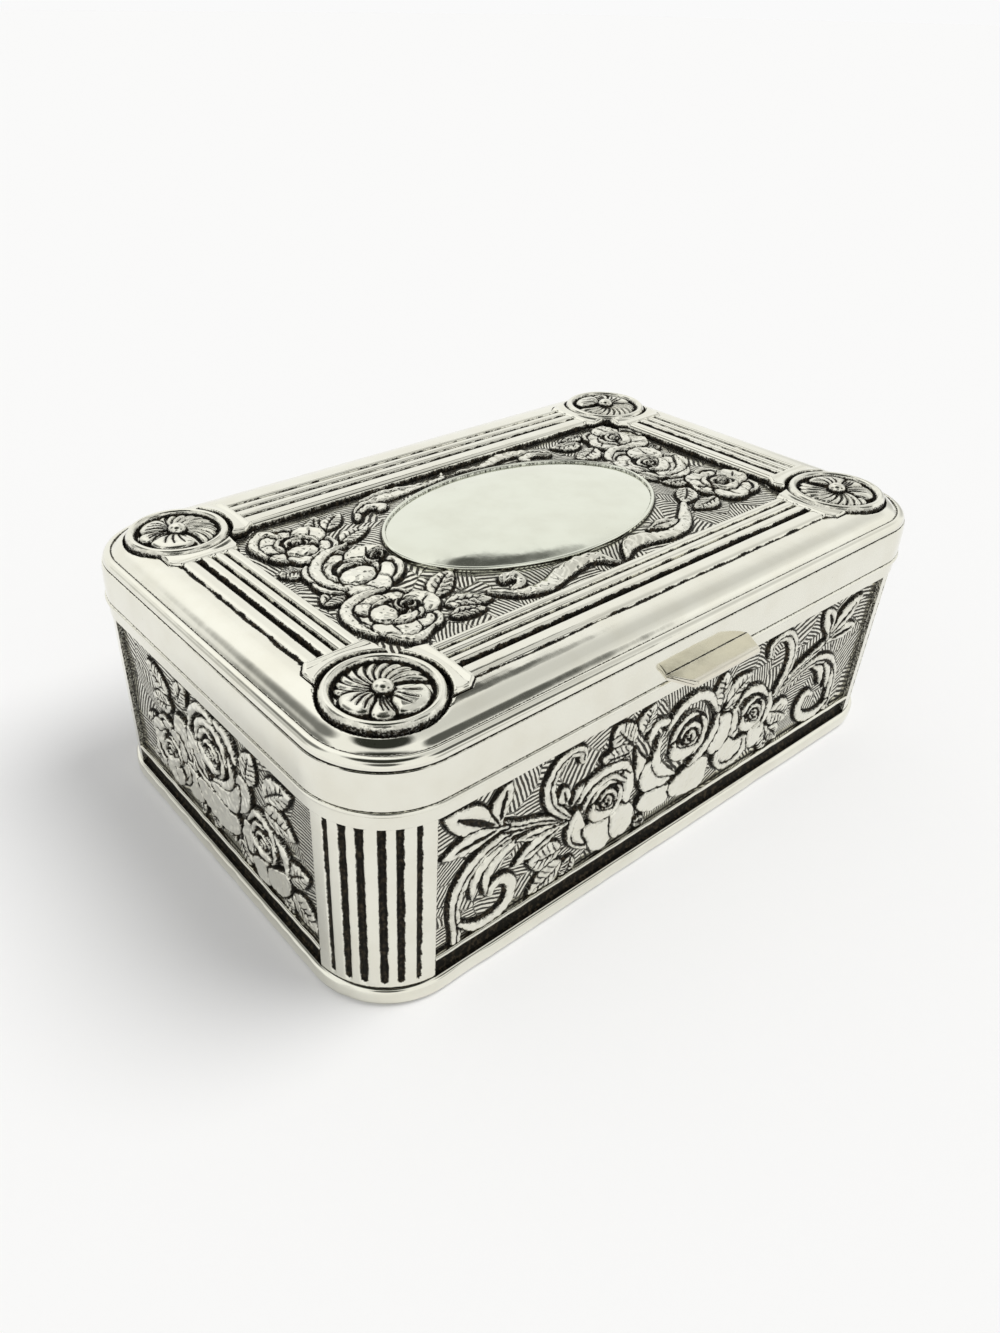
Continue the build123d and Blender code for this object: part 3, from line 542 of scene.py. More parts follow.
class Nodes:
    """A node tree, and short names for what it gets; a value is a socket, or a constant."""

    def __init__(self, owner, coordinates="Object"):
        owner.use_nodes = True
        self.tree = owner.node_tree
        self.tree.nodes.clear()
        self.place = self.add("TexCoord", output=coordinates)

    def add(self, kind, inputs=(), output=0, **settings):
        """Add a node, join or set its inputs, and give one of its outputs."""
        made = self.tree.nodes.new("ShaderNode" + kind)
        for key, value in settings.items():
            setattr(made, key, value)
        for key, value in dict(inputs).items():
            if isinstance(value, bpy.types.NodeSocket):
                self.tree.links.new(value, made.inputs[key])
            else:
                made.inputs[key].default_value = value
        return made.outputs[output] if len(made.outputs) else None

    def layer(self, name):
        return self.add("Attribute", output="Fac", attribute_name=name)

    def ray(self, *kinds):
        """1 for rays of any of these kinds."""
        rays = [self.add("LightPath", output="Is " + kind + " Ray") for kind in kinds]
        seen = rays.pop()
        while rays:
            seen = self.most(rays.pop(), seen)
        return seen

    def maths(self, operation, first, second=0.0):
        return self.add("Math", {0: first, 1: second}, operation=operation)

    def plus(self, first, second):
        return self.maths("ADD", first, second)

    def less(self, first, second):
        return self.maths("SUBTRACT", first, second)

    def times(self, first, second):
        return self.maths("MULTIPLY", first, second)

    def most(self, first, second):
        return self.maths("MAXIMUM", first, second)

    def mix(self, share, first, second):
        """A blend of two colours."""
        return self.add("Mix", {0: share, 6: first, 7: second}, 2, data_type="RGBA")

    def ramp(self, value, low, high, to_low=0.0, to_high=1.0):
        """Map a value smoothly from one range to another."""
        return self.add("MapRange", {"Value": value, "From Min": low, "From Max": high, "To Min": to_low,
                                     "To Max": to_high}, interpolation_type="SMOOTHSTEP")

    def noise(self, size, detail=2.0, roughness=0.5, distortion=0.0, stretch=None, turn=(0.0, 0.0, 0.0)):
        """A noise whose lumps are about as large as size, in millimetres, and can be drawn out."""
        place = self.place
        if stretch:
            place = self.add("Mapping", {"Vector": place, "Rotation": turn, "Scale": stretch})
        return self.add("TexNoise", {"Vector": place, "Scale": 1.0 / (size * MM), "Detail": detail,
                                     "Roughness": roughness, "Distortion": distortion}, "Fac")

    def surface(self, colour, roughness, height, depth, strength, **others):
        """The shader at the end: its bump's depth is in millimetres."""
        bump = self.add("Bump", {"Height": height, "Distance": depth * MM, "Strength": strength})
        inputs = {"Base Color": colour, "Roughness": roughness, "Normal": bump}
        inputs.update((key.replace("_", " "), value) for key, value in others.items())
        self.add("OutputMaterial", {"Surface": self.add("BsdfPrincipled", inputs)})


def shader(name):
    """A new material and its nodes."""
    material = bpy.data.materials.new(name)
    return material, Nodes(material)


SILVER = (0.82, 0.81, 0.72, 1.0)
SILVER_WARM = (0.70, 0.67, 0.56, 1.0)
SOOT = (0.012, 0.011, 0.008, 1.0)
SOOT_BROWN = (0.07, 0.055, 0.035, 1.0)
GROUND_GREY = (0.35, 0.34, 0.29, 1.0)
PIT_GREY = (0.2, 0.19, 0.15, 1.0)


def plate_material(name, polish, wave=1.0, grain=0.0, tone=SILVER, warm=SILVER_WARM, residue_and_shade=0.0):
    """Silver plate: black oxide in the lines and the chased ground, painted shade mixed into the darkening beside the
    lines, and a slightly uneven polish elsewhere.
    """
    material, n = shader(name)
    far = n.less(10.0, n.layer("tarnish"))
    ground = n.layer("ground")
    edge = n.plus(far, n.times(n.less(n.noise(0.5, 3.0, 0.65), 0.5), 0.55))
    dark = n.ramp(edge, 0.2, 0.02)

    turn = n.maths("FRACT", n.plus(n.layer("hatch"), n.times(n.noise(1.6), 0.5)))
    wave_up = n.times(n.maths("ABSOLUTE", n.less(turn, 0.5)), 2.0)
    worn = n.times(n.less(n.noise(2.2, 3.0, 0.6), 0.5), 0.5)
    cut = n.times(n.ramp(n.plus(wave_up, worn), 0.44, 0.58), 0.93)
    # Within half a millimetre of a line the chased ground darkens: oxide, and painted shade round the feet of the
    # raised shapes.
    dark = n.most(dark, n.times(ground, n.most(cut, n.ramp(far, 0.5, 0.1, 0.0, 0.7))))
    # On raised shapes, patchy darkening near the lines: oxide residue and painted shade standing in for the shading
    # of their rounded edges.
    if residue_and_shade:
        left = n.ramp(n.noise(1.7), 0.4, 0.62)
        dark = n.most(dark, n.times(n.ramp(edge, 0.8, 0.1, 0.0, residue_and_shade), left))

    film = n.ramp(n.noise(9.0, 3.0, 0.55), 0.35, 0.75)
    silver = n.mix(n.times(film, 0.35), tone, warm)
    silver = n.mix(n.times(ground, 0.06), silver, GROUND_GREY)
    oxide = n.mix(n.ramp(n.noise(0.8), 0.45, 0.75), SOOT, SOOT_BROWN)
    speck = n.add("TexVoronoi", {"Vector": n.place, "Scale": 1.0 / (5.0 * MM)}, "Distance")
    pit = n.ramp(n.plus(speck, n.times(n.noise(3.0), 0.12)), 0.09, 0.06)
    colour = n.mix(n.times(pit, 0.45), n.mix(dark, silver, oxide), PIT_GREY)

    rough = n.ramp(n.noise(6.0, 4.0, 0.6), 0.3, 0.75, polish, polish + 0.09)
    rough = n.most(rough, n.ramp(dark, 0.0, 1.0, 0.0, 0.62))
    height = n.times(dark, -0.07)
    for bumps, depth in ((n.noise(14.0), 0.16 * wave), (n.noise(2.6), 0.012 * wave),
                         (n.noise(0.16, 2.0, 0.5, 0.0, (1.0, 0.035, 0.06), (0.4, 0.9, 0.35)), 0.0012 + grain)):
        height = n.plus(height, n.times(bumps, depth))
    n.surface(colour, rough, height, 1.0, 1.0, Metallic=n.ramp(dark, 0.0, 1.0, 1.0, 0.88))
    return material


def velvet_material():
    """Deep burgundy velvet: short pile with brushed patches and a soft sheen."""
    material, n = shader("velvet_pile")
    brushed, pile = n.noise(12.0, 3.0, 0.6), n.noise(0.35, 2.0, 0.7)
    colour = n.mix(n.ramp(brushed, 0.25, 0.75), (0.20, 0.015, 0.036, 1.0), (0.26, 0.023, 0.050, 1.0))
    colour = n.mix(n.ramp(pile, 0.4, 0.7, 0.0, 0.4), colour, (0.08, 0.004, 0.012, 1.0))
    n.surface(colour, 0.92, n.plus(n.times(pile, 0.12), n.times(brushed, 0.4)), 1.0, 0.7, Sheen_Weight=0.6,
              Sheen_Roughness=0.4, Sheen_Tint=(0.9, 0.45, 0.5, 1.0))
    return material


def felt_material():
    """Black pressed felt with pale fibres."""
    material, n = shader("pressed_felt")
    fibre = n.noise(0.3, 3.0, 0.7, 1.2, (1.0, 0.25, 1.0), (0.0, 0.0, 0.6))
    colour = n.mix(n.ramp(fibre, 0.45, 0.8), (0.010, 0.010, 0.011, 1.0), (0.055, 0.053, 0.050, 1.0))
    n.surface(colour, 0.95, fibre, 0.3, 0.8, Sheen_Weight=0.3)
    return material


def card_material():
    """Grey pulp card with darker flecks."""
    material, n = shader("grey_card")
    fleck = n.noise(0.7, 3.0, 0.7)
    colour = n.mix(n.ramp(fleck, 0.5, 0.75), (0.34, 0.32, 0.28, 1.0), (0.18, 0.17, 0.15, 1.0))
    n.surface(colour, 0.9, fleck, 0.1, 0.6)
    return material


def brushed_material(name, colour_low, colour_high, size):
    """Drawn or rolled sheet metal with fine lines along X and a few dull spots."""
    material, n = shader(name)
    grain = n.noise(size, 3.0, 0.6, 0.0, (0.02, 1.0, 1.0))
    colour = n.mix(n.ramp(n.noise(4.0, 3.0, 0.6), 0.4, 0.7), colour_low, colour_high)
    n.surface(colour, n.ramp(grain, 0.3, 0.7, 0.2, 0.38), grain, 0.02, 0.8, Metallic=1.0)
    return material


polished = plate_material("polished_plate", polish=0.045)
pressed = plate_material("pressed_plate", polish=0.1, wave=1.6, residue_and_shade=0.35)
bare_oval = plate_material("bare_oval_plate", polish=0.05, grain=0.0006, tone=(0.77, 0.79, 0.69, 1.0),
                           warm=(0.64, 0.64, 0.54, 1.0))
tab_metal = plate_material("tab_plate", polish=0.15, wave=1.6, tone=(0.77, 0.74, 0.64, 1.0),
                           warm=(0.62, 0.57, 0.46, 1.0))
velvet = velvet_material()
card = card_material()
hinge_metal = brushed_material("hinge_plate_metal", (0.78, 0.77, 0.72, 1.0), (0.62, 0.60, 0.54, 1.0), 0.12)
base_metal = brushed_material("base_sheet_metal", (0.56, 0.54, 0.50, 1.0), (0.44, 0.42, 0.38, 1.0), 0.2)

# A piece's body, finish slot and material
CASE_PLATE = ("case", "silver_plate", polished)
LID_PLATE = ("lid", "silver_plate", polished)
CASE_RELIEF = ("case", "relief_plate", pressed)
LID_RELIEF = ("lid", "relief_plate", pressed)
LID_TAB = ("lid", "tab_plate", tab_metal)
CASE_VELVET = ("case", "velvet", velvet)
LID_VELVET = ("lid", "velvet", velvet)


# Panels


# Drawings, as kinds of shape and their copies: x across and z up on a panel, x and y on the lid's field
# The front: three roses between two scrolled acanthus sprays
FRONT_DRAWING = (
    (stem, (
        (((-65.5, 10.2), (-61.8, 9.8), (-61, 13), (-61.6, 19), (-60.6, 24), (-57, 28.3), (-51, 30.6), (-45, 30.2),
         (-39, 27.8), (-35, 25.8)), (0.8, 2.4, 2.6, 2.8, 3.6, 3.6, 2.6, 2.0, 1.8, 1.4), 0.3),
        (((-49, 29), (-54, 27.5), (-57, 24), (-57.6, 19.6)), (1.0, 2.2, 2.5, 0.6), 0),
        (((-45, 28.2), (-50.5, 27), (-54, 23.5), (-54.4, 18.8)), (1.0, 2.4, 2.6, 0.6), 0),
        (((-60.5, 15), (-57, 12), (-52.5, 11.2), (-48.8, 13), (-47.6, 16.8), (-49.5, 19.8), (-52.3, 20),
         (-53, 18.2)), (1.0, 2.2, 2.8, 2.8, 2.8, 2.6, 2.2, 1.8), 0),
        (((-35, 26), (-41, 29.3), (-47, 31.6), (-51, 33.4)), (1.6, 1.9, 1.9, 2.4), 0.25),
        (((-32.5, 25), (-35.5, 28), (-38.6, 32), (-39.6, 36.5), (-38, 40.3), (-34.8, 41.9), (-31.8, 41),
         (-31.4, 39)), (1.2, 2.2, 3.0, 3.2, 3.0, 2.6, 2.4, 2.0), 0.25),
        (((31, 25.4), (36, 26.8), (42, 28.6), (48, 28.6), (53.5, 26), (57, 20.5), (57.4, 14), (57.6, 10.5),
         (61.5, 9.8)), (1.2, 1.8, 2.2, 3.0, 3.6, 3.4, 2.8, 2.4, 0.8), 0.3),
        (((46.5, 27.4), (50, 25), (51, 20.8)), (1.0, 2.5, 0.6), 0),
        (((51, 26.6), (54, 23), (54.2, 18.6)), (1.0, 2.3, 0.6), 0),
        (((57, 13.5), (53.5, 11.6), (49, 11.8), (45.4, 14), (44, 17.6), (46, 20), (48.4, 19)), (1.0, 2.2, 2.8, 2.8,
         2.6, 2.2, 1.7), 0),
        (((33, 27.8), (40, 30.4), (46, 32.4), (49.6, 33.4)), (1.6, 2.0, 2.0, 2.2), 0.25),
        (((30.5, 24.6), (33, 28.4), (35.2, 32.6), (35, 37.4), (32.6, 41), (29, 42.2), (26, 41), (26.4, 38.6)), (1.2,
         2.4, 3.0, 3.2, 3.0, 2.6, 2.2, 1.8), 0.25))),
    (lobe, (
        ((-50.5, 33), (-64.5, 42.8), 6.4, 1.3, -0.4), ((-51, 33.5), (-49.5, 43.4), 5.0, 0.9, 1.3),
        ((-49.5, 32.8), (-65, 33.4), 4.6, 0.8, -0.8), ((-34.5, 25.6), (-47.5, 28), 2.8, 0.4, 0.4),
        ((-33, 24.6), (-47.4, 21.4), 4.2, 0.6, -1.0), ((48.5, 32.8), (61.5, 33.4), 4.2, 0.8, 0.6),
        ((48.5, 33.2), (60.5, 42), 5.2, 0.9, 0.3), ((49.4, 33.4), (45.6, 43.2), 4.8, 0.9, -1.2),
        ((-15.8, 33.6), (-11.6, 21.6), 3.9, 0.0, 0.5), ((-34, 29), (-36, 34.6), 3.4, 0.5, 0.3),
        ((-33, 28.6), (-29.4, 32.4), 3.0, 0.0, 0.3))),
    (leaf, (
        (-34.5, 18.6, 172, 9.4, 6.6), (-34, 15, 203, 10.0, 6.6), (-31.5, 14.6, 245, 5.6, 4.4),
        (-16.5, 35.4, 132, 9.6, 6.6), (-14.4, 36.6, 68, 7.0, 5.2), (-16.6, 34, 168, 9.6, 5.0),
        (-17, 32, 186, 7.0, 3.4), (11.6, 32, 96, 9.0, 5.8), (12.6, 31.8, 30, 9.6, 5.6), (12.4, 30.2, 4, 8.0, 4.0),
        (31, 21.4, -30, 10.4, 7.0), (30.6, 17.6, -82, 8.0, 5.0), (32.6, 16, -48, 6.6, 4.6),
        (-13, 12.6, -20, 4.0, 3.0))),
    (scale, (
        (((-31.5, 27), (-33.8, 22.8), (-33, 18.4), (-29.6, 15.2), (-26.8, 14.2), (-26, 17), (-28.5, 21.4)), True),
        (((-29, 20.8), (-27.6, 16), (-25.6, 12.2), (-21.6, 11.4), (-20, 15), (-20.6, 20.4)), False),
        (((-20.7, 20.8), (-21, 15.2), (-19, 12), (-15.4, 12.4), (-13.8, 15.6), (-15.4, 20)), False),
        (((-16.8, 20.4), (-15.2, 24), (-16.2, 29), (-18.4, 30.8), (-19.4, 25)), False),
        (((15.4, 28.6), (17.4, 29.4), (19, 26), (19.2, 21.4), (17, 20.2), (15, 24)), True),
        (((12.4, 21.6), (12, 16.6), (15.4, 12.6), (20.6, 12.2), (24.2, 14.4), (23.6, 18.8), (19, 19.4), (16, 21.6)),
         True),
        (((23.8, 20), (24.6, 14.6), (28, 13.6), (30, 17.4), (28.2, 20.6)), False),
        (((-12.6, 28), (-13.4, 23.5), (-11, 20), (-6, 18.6), (-3, 20.4), (-6.6, 23.2), (-9, 27.6)), False),
        (((-11.6, 19.8), (-12.8, 16.6), (-8.6, 13.4), (-3.4, 13.8), (-1.2, 17.2), (-5, 18.8)), False),
        (((-2.8, 17.8), (-1.8, 14), (2.5, 12.2), (8.4, 12), (10, 16), (8.8, 20), (3, 20.4)), False),
        (((10.2, 29.4), (14.8, 28.8), (16, 24.6), (14.6, 20.2), (10.4, 19.4), (8.8, 22.5), (10.4, 26)), False))),
    (fold, (
        (((-31.4, 28.6), (-28.8, 31.6), (-24, 32.6), (-19, 31.4), (-16.6, 28.8)), (0.9, 2.2, 2.4, 2.2, 0.8)),
        (((-29.8, 26), (-27.4, 29.4), (-22.4, 30), (-18.2, 27.2)), (0.8, 1.8, 1.9, 0.8)),
        (((16.4, 29.8), (20, 31.6), (25, 30.6), (28.8, 27)), (0.8, 2.1, 2.2, 0.8)),
        (((29, 28), (30.4, 23.4), (28.2, 19.2)), (0.9, 2.3, 0.8)),
        (((-12.2, 34.4), (-10.6, 36.8), (-7.2, 36.6)), (1.2, 2.9, 1.4)),
        (((-6.8, 34.2), (-3.6, 37.6), (1, 38.6), (6, 36.8), (9.6, 31.6)), (0.9, 2.4, 2.6, 2.4, 0.9)),
        (((-8.8, 32.8), (-8.8, 27.4), (-6.2, 23.4), (-2.2, 20.8)), (1.0, 2.9, 2.9, 1.0)),
        (((10, 30.6), (10, 26.2), (7.2, 22.4), (2.8, 20.4)), (0.9, 2.5, 2.7, 0.9)))),
    (heart, (
        (-23.2, 24.4, 9.4, -40), (1.0, 28.8, 11.6, -30), (23.8, 24.3, 8.8, -35))),
)

# The side: three roses and their leaves
SIDE_DRAWING = (
    (leaf, (
        (14.8, 32, 74, 9.4, 5.8), (20.6, 32.6, 36, 12.6, 6.2), (20.4, 29.8, 0, 11.0, 6.0), (27.6, 18, 38, 9.4, 5.2),
        (28.4, 15, -24, 9.4, 6.4), (24.6, 13, -52, 5.8, 4.6), (9, 14.4, -58, 6.4, 5.0), (-12, 35, 60, 7.6, 5.2),
        (-16.4, 34.6, 152, 10.0, 5.6), (-15.6, 32.4, 190, 9.4, 5.0), (-22.6, 22, 172, 7.0, 5.0),
        (-22.4, 16, 210, 8.6, 5.2), (-1, 14, -100, 4.8, 4.4), (-8, 13.6, -70, 4.4, 3.8), (3, 14.4, -30, 5.0, 3.8))),
    (scale, (
        (((-14, 31.6), (-15, 26), (-12.2, 21), (-7, 20.8), (-8.6, 26), (-8.6, 31.4)), True),
        (((-13, 20.4), (-14, 15.4), (-10, 12), (-5.6, 13.4), (-6, 18), (-9, 20.8)), False),
        (((-6.4, 20), (-1, 21), (5, 20.4), (10, 19.8), (9.6, 15.6), (4, 12.8), (-2, 13.4), (-6.4, 16.2)), False),
        (((11.4, 32), (13.6, 33.4), (16, 30), (14.8, 25.4), (10.8, 22), (8.6, 20.8), (9.8, 26.4)), False),
        (((12.8, 22.4), (11.2, 17.4), (12.8, 12.2), (15.8, 11.8), (15.4, 17), (15.8, 21.4)), True),
        (((14.4, 13.8), (16.2, 9.8), (20, 10), (23.2, 13.6), (19.6, 16)), False),
        (((20, 14.8), (24.8, 18), (28, 18.8), (28.4, 15), (25.2, 11.2), (21, 11)), False),
        (((-8.2, 32.4), (-8.8, 26.6), (-5.2, 21.8), (0.4, 20.6), (-2, 24.6), (-4.4, 29)), True),
        (((3.6, 24.8), (9, 27.4), (12, 30), (11.2, 24), (8.4, 20.4), (3, 20.6), (-1, 22.4)), False))),
    (fold, (
        (((5, 40.8), (8.8, 39), (11.4, 35)), (1.4, 3.0, 1.2)),
        (((-7.2, 33), (-5.6, 37.4), (-1, 40.4), (3.6, 39.8)), (0.9, 2.3, 2.3, 1.0)),
        (((-4.8, 31), (-3.4, 35.6), (1, 38), (5.6, 36.6), (7.6, 31.6)), (0.8, 2.0, 2.1, 2.0, 0.8)),
        (((8.8, 34.4), (9, 29.6), (6.2, 26), (1.4, 24.6)), (0.8, 2.1, 2.2, 0.9)),
        (((14.4, 23.4), (17.4, 27), (21.8, 26.4), (24.4, 22.6)), (0.8, 2.0, 2.0, 0.8)),
        (((24.6, 26.2), (27, 23.6), (27.8, 19.4)), (1.0, 2.9, 1.0)))),
    (rose, ((-18.6, 19.4, 8.6, 10),)),
    (heart, (
        (1.2, 30.8, 9.8, -30), (19.4, 20.8, 8.4, -20))),
)

# The field: a spray at each end, and scrolls above and below the oval
FIELD_DRAWING = (
    (scroll, (
        (((-30.4, 20.6), (-27, 24.6), (-22, 26.7), (-16, 26), (-9, 25.6), (-3, 25.8), (0, 28.8)), (1.2, 2.0, 2.7,
         2.7, 2.3, 1.7, 0.6)),
        (((-23.6, 20.8), (-22.4, 22.8), (-25, 24.2), (-28.4, 22.8)), (1.7, 1.9, 1.6, 0.9)),
        (((-25, 27.4), (-18, 28.6), (-10, 27), (-7, 26)), (0.7, 1.3, 1.3, 0.7)),
        (((3.6, 27), (11, 26.2), (18, 28.2), (25, 27), (30, 22.6)), (0.8, 1.9, 2.5, 2.4, 1.2)),
        (((21.4, 21.6), (22.6, 24), (26.4, 24.4), (29, 21.8)), (1.7, 1.9, 1.7, 0.9)),
        (((-28.6, -21.4), (-24, -25.2), (-18, -26.2), (-12, -24.8), (-6, -24.2), (-2, -25.2), (0.6, -28.4)), (1.2,
         2.0, 2.7, 2.5, 2.3, 1.7, 0.6)),
        (((-24, -19.8), (-21.6, -20.2), (-21.4, -22.4), (-24.6, -23.4)), (1.5, 1.6, 1.6, 0.9)),
        (((3.2, -28), (7, -25), (12, -24.6), (18, -26), (24, -25.4), (29, -22), (33.4, -18)), (0.8, 2.3, 2.5, 2.5,
         2.5, 2.3, 1.2)))),
    (lobe, (
        ((15.5, -22.6), (26, -22.6), 3.2, 0.3, 0.3), ((33, 10.6), (36.8, 3.2), 2.4, 0.3, 0.6),
        ((39.6, -7.4), (34.8, -1), 2.6, 0.3, 0.4))),
    (leaf, (
        (-52.4, 8.0, 168, 5.4, 4.6), (-57.0, -5.8, 12, 6.4, 4.8), (-39.4, 14.0, 10, 8.4, 5.2),
        (-41.4, 19.4, 62, 9.4, 4.6), (-38.8, 20.4, 36, 8.8, 4.4), (-38.4, -16.0, 28, 9.4, 5.0),
        (-38.6, -19.4, -24, 9.8, 5.0), (-40.6, -23.6, -12, 8.0, 3.6), (42.6, 18.4, 200, 11.0, 5.6),
        (41.6, 22.4, 162, 9.0, 4.8), (46.0, 26.4, 176, 7.4, 3.6), (41.6, -12.0, 215, 9.4, 5.0),
        (43.0, -20.0, 184, 9.4, 4.6), (46.6, -9.4, 165, 8.4, 4.0), (57.0, 11.0, -150, 4.4, 3.4))),
    (rose, (
        (-47.6, 18.2, 8.6, 0), (-47.2, -16.2, 9.2, -30),
        (51.0, 19.6, 8.6, 40), (50.6, -15.4, 8.6, -20),
        (-45.0, 1.6, 10.2, 0), (45.4, 2.8, 10.2, 20))),
    (curl, (
        (((-55.8, 16.6), (-55.8, 22), (-53, 25.8), (-50.2, 26), (-49.2, 22.8)), (1.0, 2.3, 2.4, 2.4, 1.2)),
        (((-50.6, -4), (-52, 1.6), (-50.4, 7), (-45.6, 10.8), (-39.6, 11.8)), (1.2, 2.6, 2.7, 2.4, 0.9)),
        (((-55.6, -21), (-56.6, -15.4), (-54.8, -10.2), (-50, -7.8), (-44.6, -8.4)), (1.2, 2.5, 2.6, 2.5, 1.0)),
        (((-54, -22.6), (-50.4, -26), (-45.6, -24.8)), (1.2, 2.6, 1.0)),
        (((37.6, 8), (41, 12.4), (46, 14.4), (50.6, 12.4)), (0.9, 2.4, 2.5, 1.0)),
        (((43.6, -5), (50, -3.6), (54, 1.6)), (1.0, 2.6, 1.0)))),
    (dome, ((-45.2, -0.6, 4.2, 3.2, 10, 1.3),)),
    (heart, ((-38.2, 2.8, 4.6, 30, False),)),
    (dome, (
        (-48.2, 15.0, 3.5, 2.4, -10, 1.25), (-50.0, -15.8, 3.3, 2.7, 60, 1.25))),
    (heart, ((-44.2, -15.6, 5.0, 0, False),)),
)

# How far the drawings of the front and the side are moved to sit on their panels
FRONT_SHIFT = (-0.4, -1.4)
SIDE_SHIFT = (-0.3, 0.0)


def panel_grid(run, step, drawing, shift, seed):
    """A panel's relief, worked out on a grid of its own: across to the right, and up."""
    across = np.linspace(-run, run, int(2 * run / step) + 1)
    up = np.linspace(panel_bottom, panel_top, int((panel_top - panel_bottom) / step) + 1)
    x, z = np.meshgrid(across, up)
    relief = Relief(x - shift[0], z - shift[1])
    draw(relief, drawing)
    relief.x, relief.y = x, z
    edge = np.minimum(np.minimum(run - abs(x), z - panel_bottom), panel_top - z)
    relief.clear = np.minimum(relief.clear, edge - 0.3)
    relief.high = np.clip(relief.high, LOWEST, HIGHEST) * ease(edge, 0.0, 0.5)
    relief.high += 0.07 * np.sin(x / 3.1 + 1.0) * np.sin(z / 2.7) * relief.ground
    return relief, hatch_phase(x, z, seed)


def make_panels():
    """The four pressed panels; the back and right ones repeat the two that the photograph shows."""
    for sides, step, drawing, shift, seed in ((("front", "back"), 0.25, FRONT_DRAWING, FRONT_SHIFT, 11),
                                              (("left", "right"), 0.23, SIDE_DRAWING, SIDE_SHIFT, 23)):
        relief, phase = panel_grid(SIDES[sides[0]][2], step, drawing, shift, seed)
        for side in sides:
            turn, half = SIDES[side][:2]
            points = on_side(turn, relief.x, -(half - ground_inset) - relief.high, relief.y)
            piece(side + "_panel_relief", points, side + "_panel", *CASE_RELIEF, clear=relief.clear,
                  ground=relief.ground, hatch=phase)


# Lid


def ring_distance(x, y):
    """The distance from the nearest rosette's centre."""
    away = [np.hypot(x - centre[0], y - centre[1]) for centre in rosette_centres.values()]
    return np.minimum.reduce(away)


def make_moulding():
    """The lid's side: rolled hem, skirt, bead, cove, long ogee and a flat border, with a wall inside."""
    skirt_top, border_top = 54.9, 58.78
    skirt_inset, notch_inset = 0.72, 1.12
    deepest, pocket_depth = 57.0, 0.9
    hem_line = lid_bottom + 1.05
    bead = round_over((2.5, skirt_top + 0.1), 1.55, 178, 84, 14)
    ogee = curve([(2.74, 56.46), (2.95, 56.42), (3.4, 56.72), (4.2, 57.36), (5.3, 57.96), (6.7, 58.42), (8.2, 58.66),
                  (9.6, 58.76)], per=6)
    outer = section([(1.1, lid_bottom), (0.5, lid_bottom)],
                    round_over((0.45, lid_bottom + 0.45), 0.45, 250, 100, 9),
                    [(0.36, lid_bottom + 0.92), (0.62, hem_line), (0.36, lid_bottom + 1.2), (0.36, 50.0), (0.5, 53.4),
                     (skirt_inset, skirt_top - 0.3), (notch_inset, skirt_top - 0.1)],
                    bead, ogee,
                    [(frame_start, border_top)])
    inner = section([(frame_start, 56.6), (8.0, 56.45), (4.4, 56.0), (2.6, 54.8), (1.75, 54.0), (1.4, 50.0),
                     (1.3, lid_bottom + 0.1), (1.1, lid_bottom)])
    profile = np.vstack([outer, inner])
    path = outline_path()
    points = sweep(path, profile)
    x, y, z = points[..., 0], points[..., 1], points[..., 2]
    away = ring_distance(x, y)
    top = z > deepest
    points[..., 2] -= np.where(top, pocket_depth * (1 - ease(away, rosette_ring - 0.35, rosette_ring + 0.1)), 0.0)
    clear = np.where(top, away - rosette_ring, FAR)
    inset, level = profile[:, :1], profile[:, 1:]
    outside = np.arange(len(profile))[:, None] < len(outer)
    jag = 0.28 * np.sin(x * 2.1 + y * 1.3) * np.sin(x * 0.83 - y * 1.9)
    border = np.where(inset > 9.0, frame_start - 0.12 - inset + jag, FAR)
    notch = np.hypot(inset - notch_inset, level - skirt_top + 0.1) - 0.06
    cove = np.hypot(inset - 2.85, level - 56.43) - 0.02
    lines = np.minimum(np.minimum.reduce([np.abs(level - hem_line) + 0.02, notch, cove]), border)
    clear = np.minimum(clear, np.where(outside, lines, FAR))
    piece("lid_moulding", points, "lid_shell", *LID_PLATE, clear=clear, wrap=True, sharp=38)


# Grooves across each bar of the raised frame: inset, half the width of the black line, and its raggedness
BAR_GROOVES = {
    "front": ((10.5, 0.34, 0.5), (15.0, 0.5, 0.45), (18.2, 0.2, 0.25), (20.9, 0.18, 0.2), (23.3, 0.3, 0.3)),
    "left": ((10.4, 0.5, 0.55), (14.4, 0.55, 0.5), (17.6, 0.24, 0.25), (20.3, 0.2, 0.2), (23.3, 0.3, 0.3)),
    "back": ((10.5, 0.14, 0.5), (12.6, 0.22, 0.35), (15.4, 0.26, 0.3), (18.7, 0.28, 0.35), (23.36, 0.1, 0.15)),
    "right": ((10.4, 0.4, 0.5), (13.0, 0.24, 0.3), (16.0, 0.24, 0.3), (19.2, 0.5, 0.5), (23.36, 0.1, 0.15)),
}


